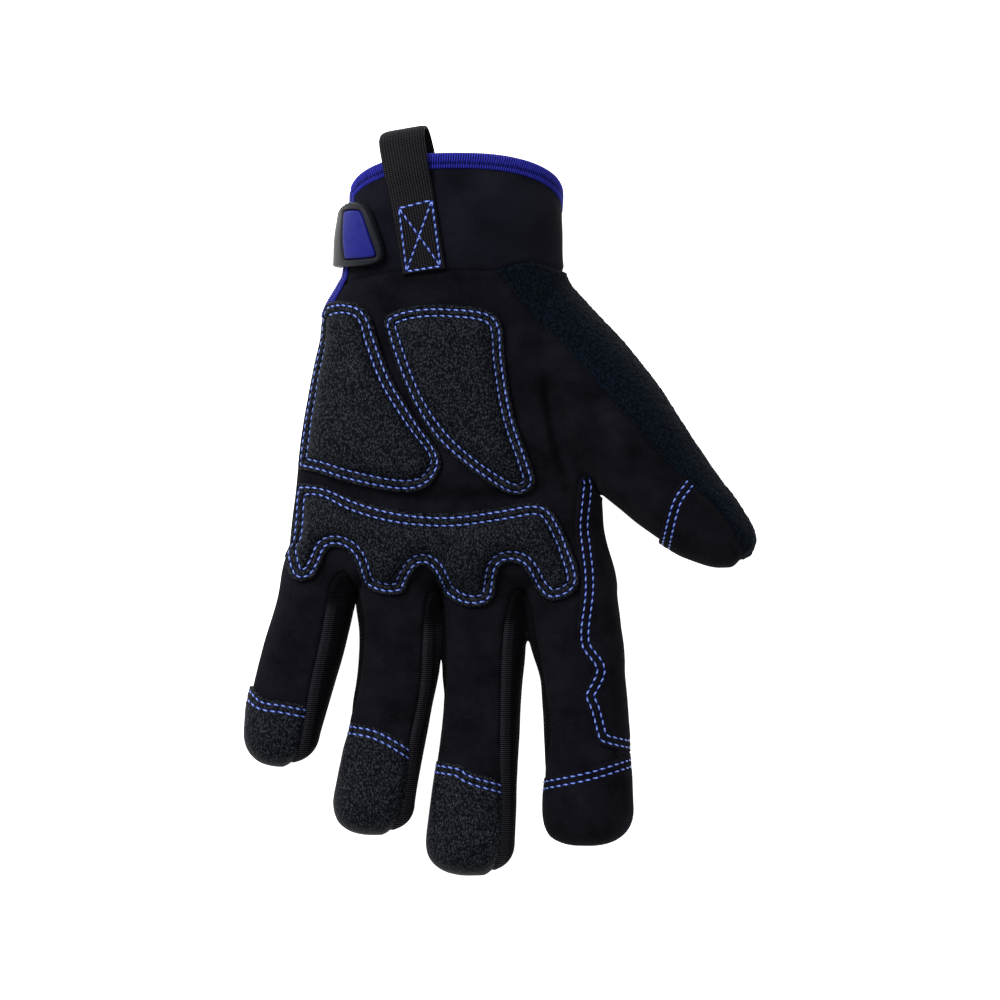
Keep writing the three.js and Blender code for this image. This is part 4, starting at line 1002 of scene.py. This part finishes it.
def slit_edge(y, way):
    """Angle of the slit's upper or lower edge on the cuff at y."""
    part = (y - slit_foot[0]) / (slit_top[0] - slit_foot[0])
    height = slit_foot[1] + part * (slit_top[1] - slit_foot[1])
    height = height + way * (SLIT_FOOT_HALF + part * (SLIT_WIDTH / 2 - SLIT_FOOT_HALF))
    _, _, low, widest, high = cuff_rows_at(y)
    up = np.clip((height - widest) / (high - widest), 0, 1) ** (ABOVE / 2)
    down = np.clip((widest - height) / (widest - low), 0, 1) ** (BELOW / 2)
    return math.pi - np.arcsin(up - down)


def rim_at(angle_of, count):
    """Where the rim is at each of some angles, found step by step."""
    y = np.full(count, WRIST_Y + 0.03)
    for _ in range(8):
        y = rim_y(cuff_face(y, angle_of(y))[..., 2])
    return y


def relaxed(rows, times):
    """Each row but the first and last moves toward its neighbours."""
    for _ in range(times):
        rows[1:-1] = (rows[:-2] + 2 * rows[1:-1] + rows[2:]) / 4
    return rows


def swept(name, ring):
    """A closed piece through rings of points, filled at both ends."""
    count, sides = ring.shape[:2]
    k = np.arange(count - 1)[:, None] * sides
    i = np.arange(sides)[None]
    j = (i + 1) % sides
    faces = np.stack([k + i, k + j, k + sides + j, k + sides + i], -1).reshape(-1, 4).tolist()
    faces += [list(range(sides))[::-1], [(count - 1) * sides + s for s in range(sides)]]
    return mesh_piece(name, ring.reshape(-1, 3), faces)


corner = {way: float(rim_at(lambda y: slit_edge(y, way), 1)[0]) for way in (1, -1)}
up_y = np.linspace(slit_foot[0], corner[1], 200)
down_y = np.linspace(corner[-1], slit_foot[0], 200)
turn = np.linspace(float(slit_edge(np.array(corner[1]), 1)),
                   float(slit_edge(np.array(corner[-1]), -1)) - 2 * math.pi, 900)
path_y = np.concatenate([up_y[:-1], rim_at(lambda y: turn, len(turn)), down_y[1:]])
path_angle = np.concatenate([slit_edge(up_y, 1)[:-1], turn, slit_edge(down_y, -1)[1:] - 2 * math.pi])
run = run_of(cuff_face(path_y, path_angle))
at = np.arange(0, run[-1], THREAD_PITCH / 5)
path_y, path_angle = np.interp(at, run, path_y), np.interp(at, run, path_angle)
edge = relaxed(cuff_face(path_y, path_angle), 12)
outward = cuff_face(path_y, path_angle, MM) - cuff_face(path_y, path_angle)
outward /= np.linalg.norm(outward, axis=1, keepdims=True)
tangent = relaxed(np.gradient(edge, axis=0), 40)
tangent -= outward * (tangent * outward).sum(1, keepdims=True)
tangent /= np.linalg.norm(tangent, axis=1, keepdims=True)
inward = np.cross(tangent, outward)
# distance from the edge into the cuff, height over its face, share of thread relief
profile = [(4.75, 0.0, 0), (4.7, 0.4, 0.5), (4.3, 0.62, 1), (3.6, 0.68, 1), (3.1, 0.62, 0.6), (2.8, 0.8, 1.6),
           (2.4, 0.66, 0.6), (1.8, 0.86, 1), (1.0, 0.98, 1), (0.3, 0.92, 1), (-0.2, 0.55, 1), (-0.5, -0.1, 1),
           (-0.6, -0.9, 1), (-0.6, -1.8, 1), (-0.3, -2.7, 1), (0.3, -3.2, 1), (1.4, -3.5, 1), (3.0, -3.5, 1),
           (4.3, -3.4, 1), (4.6, -2.8, 0), (3.6, -2.55, 0), (1.0, -2.5, 0), (1.0, -0.1, 0), (3.8, -0.05, 0)]
spots = []
painted_turn_light_rows = []
for into, height, relief in profile:
    base = edge + inward * into * MM
    base = settled(base, outward) if into > 0 else base
    wave = np.cos(2 * math.pi * (at / THREAD_PITCH + into * 0.12))
    wave = np.sign(wave) * np.abs(wave) ** 0.7
    out_way = outward * np.clip(height + 1.2, -1, 1) - inward * (1 - min(1, abs(height + 1.2)))
    spots.append(base + outward * height * MM + out_way * (wave * relief * 0.13 * MM)[:, None])
    # colour only: each turn's crown is painted highlight and the gap between turns painted shade; along the chain of
    # loops, 2.9 mm in, the colour is darker, every other turn more so
    chain = np.exp(-((into - 2.9) / 0.5) ** 2) * (height > 0)
    chain = chain * (0.75 + 0.25 * np.sign(np.cos(math.pi * at / THREAD_PITCH)))
    painted_turn_light_rows.append((0.5 + 0.5 * wave * min(relief, 1)) * (1 - 0.85 * chain))
ring = np.stack(spots, 1)
painted_turn_light = np.stack(painted_turn_light_rows, 1)
ring[..., 2] = np.maximum(ring[..., 2], 0.1 * MM)
binding = swept("cuff_binding_thread", ring)
turned_out(binding, 80)
# Polyester thread, dyed royal blue, with a random cloudy tone: a painted highlight on each turn and painted shade
# between the turns
blue, tree, shader = finish_of("overlock_thread", 0.6, Specular_IOR_Level=0.05)
where = node(tree, "ShaderNodeTexCoord").outputs["Object"]
shade = node(tree, "ShaderNodeTexNoise", {"Vector": where, "Scale": 700, "Detail": 3}).outputs["Fac"]
fibre = node(tree, "ShaderNodeTexNoise", {"Vector": where, "Scale": 5000, "Detail": 2}).outputs["Fac"]
turns = node(tree, "ShaderNodeUVMap", uv_map="turns").outputs["UV"]
turns = node(tree, "ShaderNodeSeparateXYZ", {"Vector": turns}).outputs["X"]
both = node(tree, "ShaderNodeMix", {"Factor": 0.3, "A": turns, "B": shade}).outputs["Result"]
surfaced(tree, shader, both, [(0.15, "#010124"), (0.5, "#141669"), (0.9, "#3234a8")],
         fibre, strength=0.4, depth=0.0001)
mapped(binding, "turns", np.column_stack([painted_turn_light.ravel(), np.arange(painted_turn_light.size) % len(profile)]))
binding.data.materials.append(blue)
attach(binding, "root")
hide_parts("cuff_binding")

# The wrist strap runs round the back of the cuff and carries the tab. It is brushed loop fabric with a
# turned and sewn edge, and lies a little off the cuff.
TAB_LOW = 0.0015
STRAP_THICKNESS = 0.0018
tab_height = 0.33 * CUFF_DEPTH
sco, sno, stri = smooth_form
strap_y = (WRIST_Y + 0.07 * CUFF_LENGTH, WRIST_Y + 0.55 * CUFF_LENGTH)
limit = np.where(sco[:, 0] < WRIST_X, tab_height, 0.15 * CUFF_DEPTH)
field = np.minimum.reduce([sco[:, 1] - strap_y[0], strap_y[1] - sco[:, 1], limit - sco[:, 2]])
form, f = cut_out(smooth_form, field)
form, f = finer(form, f)
over = TAB_LOW + STRAP_THICKNESS * (0.5 + 0.5 * eased(f / (0.7 * MM))) - groove(f, 2.2 * MM, 0.4 * MM, 0.25 * MM)
over += 0.08 * MM * lumps(form[0], 4 * MM, 15)
brushed, tree, shader = finish_of("strap_fabric", 0.9, Sheen_Weight=0.03, Sheen_Roughness=0.5, Specular_IOR_Level=0.08)
where = node(tree, "ShaderNodeTexCoord").outputs["Object"]
nap = node(tree, "ShaderNodeTexNoise", {"Vector": where, "Scale": 1800, "Detail": 4, "Roughness": 0.7}).outputs["Fac"]
surfaced(tree, shader, nap, [(0.35, "#0e0e12"), (0.65, "#202027")],
         nap, strength=0.7, depth=0.0003)
stuffed("wrist_strap_fabric", form, over, np.full(len(f), TAB_LOW), "wrist_strap", brushed)

# The closure tab on the end of the strap: a moulded black rubber frame with rounded edges, and a plain
# blue inset of the same rubber, moulded in and a little lower than the frame.
TAB_THICKNESS = 0.0029
INSET_LOW = 0.67 * CUFF_DEPTH
tab_outline = [
    (-0.516, 0.559), (-0.470, 0.585), (-0.415, 0.576), (-0.377, 0.508), (-0.350, 0.373),
    (-0.326, 0.229), (-0.322, 0.144), (-0.342, 0.093), (-0.400, 0.059), (-0.493, 0.042),
    (-0.64, 0.03), (-0.64, 0.559)]
inset_outline = [
    (-0.490, 0.490), (-0.450, 0.515), (-0.408, 0.508), (-0.390, 0.424), (-0.369, 0.288),
    (-0.349, 0.169), (-0.361, 0.136), (-0.493, 0.11), (-0.62, 0.11), (-0.62, 0.475)]


def rolled_over(f, radius):
    """A rounded edge, from 0 at the edge to 1 beyond this radius."""
    return np.sqrt(np.clip(1 - (1 - np.clip(f / radius, 0, 1)) ** 2, 0, 1))


sxy = sco[:, :2]
near_tab = inside(rounded(on_cuff(tab_outline), 3), sxy)
near_inset = inside(rounded(on_cuff(inset_outline), 3), sxy)
# Moulded rubber: matt, with a faint grain
rubber, tree, shader = finish_of("tab_rubber", 0.5, Specular_IOR_Level=0.12)
where = node(tree, "ShaderNodeTexCoord").outputs["Object"]
grain = node(tree, "ShaderNodeTexNoise", {"Vector": where, "Scale": 900, "Detail": 4}).outputs["Fac"]
surfaced(tree, shader, grain, [(0.3, "#121318"), (0.7, "#1b1c23")],
         grain, strength=0.25, depth=0.0001)
inset_blue, tree, shader = finish_of("tab_inset", 0.55, Specular_IOR_Level=0.1)
where = node(tree, "ShaderNodeTexCoord").outputs["Object"]
grain = node(tree, "ShaderNodeTexNoise", {"Vector": where, "Scale": 500, "Detail": 5}).outputs["Fac"]
surfaced(tree, shader, grain, [(0.3, "#12165e"), (0.7, "#191d6c")],
         grain, strength=0.2, depth=0.00008)
in_inset = np.minimum(near_inset, sco[:, 2] - INSET_LOW)
corner_cut = 2.4 * np.maximum(0, sco[:, 1] - WRIST_Y - 0.40 * CUFF_LENGTH)
frame_field = np.minimum.reduce([near_tab, sco[:, 2] - tab_height - 0.3 * MM - corner_cut, -in_inset])
form, f = cut_out(smooth_form, frame_field)
for _ in range(2):
    form, f = finer(form, f)
over = TAB_LOW + TAB_THICKNESS * (0.35 + 0.65 * rolled_over(f, 0.8 * MM))
stuffed("tab_frame_rubber", form, over, np.full(len(f), TAB_LOW), "tab_frame", rubber)
form, f = cut_out(smooth_form, in_inset - 0.1 * MM)
for _ in range(2):
    form, f = finer(form, f)
over = TAB_LOW + (2.2 + 0.9 * rolled_over(f, 1.3 * MM)) * MM
stuffed("tab_inset_panel", form, over, np.full(len(f), TAB_LOW + 1.3 * MM), "tab_inset", inset_blue)

# The pull loop: black polyester webbing folded over the rim and sewn flat on the cuff.
# It leans toward the thumb; its other end goes down inside the cuff.
FOLD_Y = 1.19
RIM_SHARE = 0.83
LOOP_LEAN = 0.157
LOOP_WIDTH = 0.0144
LOOP_THICKNESS = 0.0014
LOOP_LENGTH = 0.0482
LOOP_INNER_LENGTH = 0.024
fold_at = np.array([WRIST_X - 0.245 * CUFF_WIDTH, WRIST_Y + FOLD_Y * CUFF_LENGTH])
down = np.array([LOOP_LEAN, -1]) / math.hypot(LOOP_LEAN, 1)
across = np.array([-down[1], down[0]])
outer_lift = 1.6 * MM + LOOP_THICKNESS / 2
inner_lift = -(2.8 + 1 + 0.9) * MM - LOOP_THICKNESS / 2
sewn_lift = 0.45 * MM + LOOP_THICKNESS / 2
radius = (outer_lift - inner_lift) / 2
over_binding = (FOLD_Y - RIM_SHARE) * CUFF_LENGTH
route = [(LOOP_LENGTH, sewn_lift), (LOOP_LENGTH - 6 * MM, sewn_lift), (LOOP_LENGTH - 14 * MM, sewn_lift),
         (over_binding + BINDING_WIDTH * 1.9, sewn_lift), (over_binding + BINDING_WIDTH * 1.1, sewn_lift + 0.3 * MM),
         (over_binding, outer_lift), (over_binding - 4 * MM, outer_lift)]
route += [(radius - radius * math.sin(a), (outer_lift + inner_lift) / 2 + radius * math.cos(a))
          for a in np.linspace(0, math.pi, 9)]
route += [(radius + 5 * MM, inner_lift), (LOOP_INNER_LENGTH - 6 * MM, inner_lift), (LOOP_INNER_LENGTH, inner_lift)]
route = through(route, 12)
run = run_of(route)
at = np.linspace(0, run[-1], 200)
route = np.column_stack([np.interp(at, run, route[:, k]) for k in range(2)])
heading = np.gradient(route, axis=0)
heading /= np.linalg.norm(heading, axis=1, keepdims=True)


def above_cuff(x, y, lift):
    """A point over the upper face of the cuff, lifted square to it."""
    x0, x1, _, widest, high = cuff_rows_at(y)
    middle, half = (x0 + x1) / 2, (x1 - x0) / 2

    def height(at_x):
        return widest + (high - widest) * (1 - np.abs((at_x - middle) / half) ** ABOVE) ** (1 / ABOVE)

    slope = (height(x + 0.1 * MM) - height(x - 0.1 * MM)) / (0.2 * MM)
    size = np.sqrt(1 + slope ** 2)
    return np.stack([x - slope / size * lift, y, height(x) + lift / size], -1)


side_at = np.concatenate([np.linspace(-1, 1, 15), np.linspace(1, -1, 15)])
face_at = np.concatenate([np.ones(15), -np.ones(15)])
thin = 1 - 0.45 * np.abs(side_at) ** 10
ring = []
for step, ((along, lift), (a, b)) in enumerate(zip(route, heading)):
    sideways = 2.2 * MM * eased(step / len(route) * 3 - 1.6)
    out = along - b * face_at * thin * LOOP_THICKNESS / 2
    up = lift + a * face_at * thin * LOOP_THICKNESS / 2
    ground = fold_at + down * out[:, None] + across * (side_at * LOOP_WIDTH / 2 + sideways)[:, None]
    ring.append(above_cuff(ground[:, 0], ground[:, 1], up))
loop = swept("pull_loop_webbing", np.array(ring))
mapped(loop, "weave", np.column_stack([np.tile(side_at * LOOP_WIDTH / 2 / MM, len(at)),
                                       np.repeat(at / MM, len(side_at))]))
turned_out(loop, 50)
# Woven polyester: a coarse dull weave, with yarns 0.9 mm apart across it and 0.6 mm along it
webbing, tree, shader = finish_of("webbing", 0.6, Specular_IOR_Level=0.05)
where = node(tree, "ShaderNodeUVMap", uv_map="weave").outputs["UV"]
warp = node(tree, "ShaderNodeTexWave", {"Vector": where, "Scale": 0.36, "Distortion": 0.15},
            bands_direction="X").outputs["Fac"]
weft = node(tree, "ShaderNodeTexWave", {"Vector": where, "Scale": 0.5, "Distortion": 0.2},
            bands_direction="Y").outputs["Fac"]
both = node(tree, "ShaderNodeMath", {0: warp, 1: weft}, operation="MULTIPLY").outputs["Value"]
surfaced(tree, shader, both, [(0.05, "#030304"), (0.8, "#303036")],
         both, strength=0.9, depth=0.0003)
loop.data.materials.append(webbing)
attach(loop, "root")
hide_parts("pull_loop")

# A box with a cross in the same blue thread holds the loop down. Its corners are given in mm, along the
# loop from its fold and across it.
box_corners = [(26.0, -4.6), (25.0, 6.4), (47.4, 5.7), (47.4, -5.6)]
for first, last in ((0, 1), (1, 2), (2, 3), (3, 0), (1, 3), (0, 2)):
    t = np.linspace(0, 1, 60)[:, None]
    line = (np.array(box_corners[first]) * (1 - t) + np.array(box_corners[last]) * t) * MM
    ground = fold_at + down * line[:, :1] + across * line[:, 1:]
    lifted = sewn_lift + LOOP_THICKNESS / 2
    low_points = above_cuff(ground[:, 0], ground[:, 1], lifted)
    high_points = above_cuff(ground[:, 0], ground[:, 1], lifted + MM)
    stitch_row(low_points, high_points - low_points)
sew_threads("loop_stitching")


# The floor, the light of a plain studio, and a camera straight above the glove: the floor glows white,
# as in a picture taken on a light table, and a strong lamp beyond the cuff draws out the relief.
bpy.ops.object.select_all(action="DESELECT")
bpy.ops.mesh.primitive_plane_add(size=6)
floor = bpy.context.object
floor.name = "floor"
pale, _, _ = finish_of("pale_floor", 0.9, Base_Color=(0.9, 0.9, 0.9, 1), Specular_IOR_Level=0.1,
                       Emission_Color=(1, 1, 1, 1), Emission_Strength=1)
floor.data.materials.append(pale)
scene = bpy.context.scene
scene.view_settings.view_transform = "Standard"
world = scene.world or bpy.data.worlds.new("studio")
scene.world = world
world.use_nodes = True
world.node_tree.nodes["Background"].inputs["Color"].default_value = (1, 1, 1, 1)
world.node_tree.nodes["Background"].inputs["Strength"].default_value = 0.4
for place, size, power in (((-0.9, 0.8, 1.2), 0.7, 34), ((0.9, -0.2, 1.6), 1.4, 6)):
    bpy.ops.object.light_add(type="AREA", location=place)
    lamp = bpy.context.object
    lamp.data.size = size
    lamp.data.energy = power
    lamp.rotation_euler = (-Vector(place)).to_track_quat("-Z", "Y").to_euler()
CAMERA_HEIGHT = 4.5
VIEW_WIDTH = 0.340
bpy.ops.object.camera_add(location=(0.0006, 0.0008, CAMERA_HEIGHT + 0.02), rotation=(0, 0, 0))
camera = bpy.context.object
camera.data.sensor_width = 36
camera.data.lens = 36 * CAMERA_HEIGHT / VIEW_WIDTH
camera.data.clip_start = 0.05
scene.camera = camera
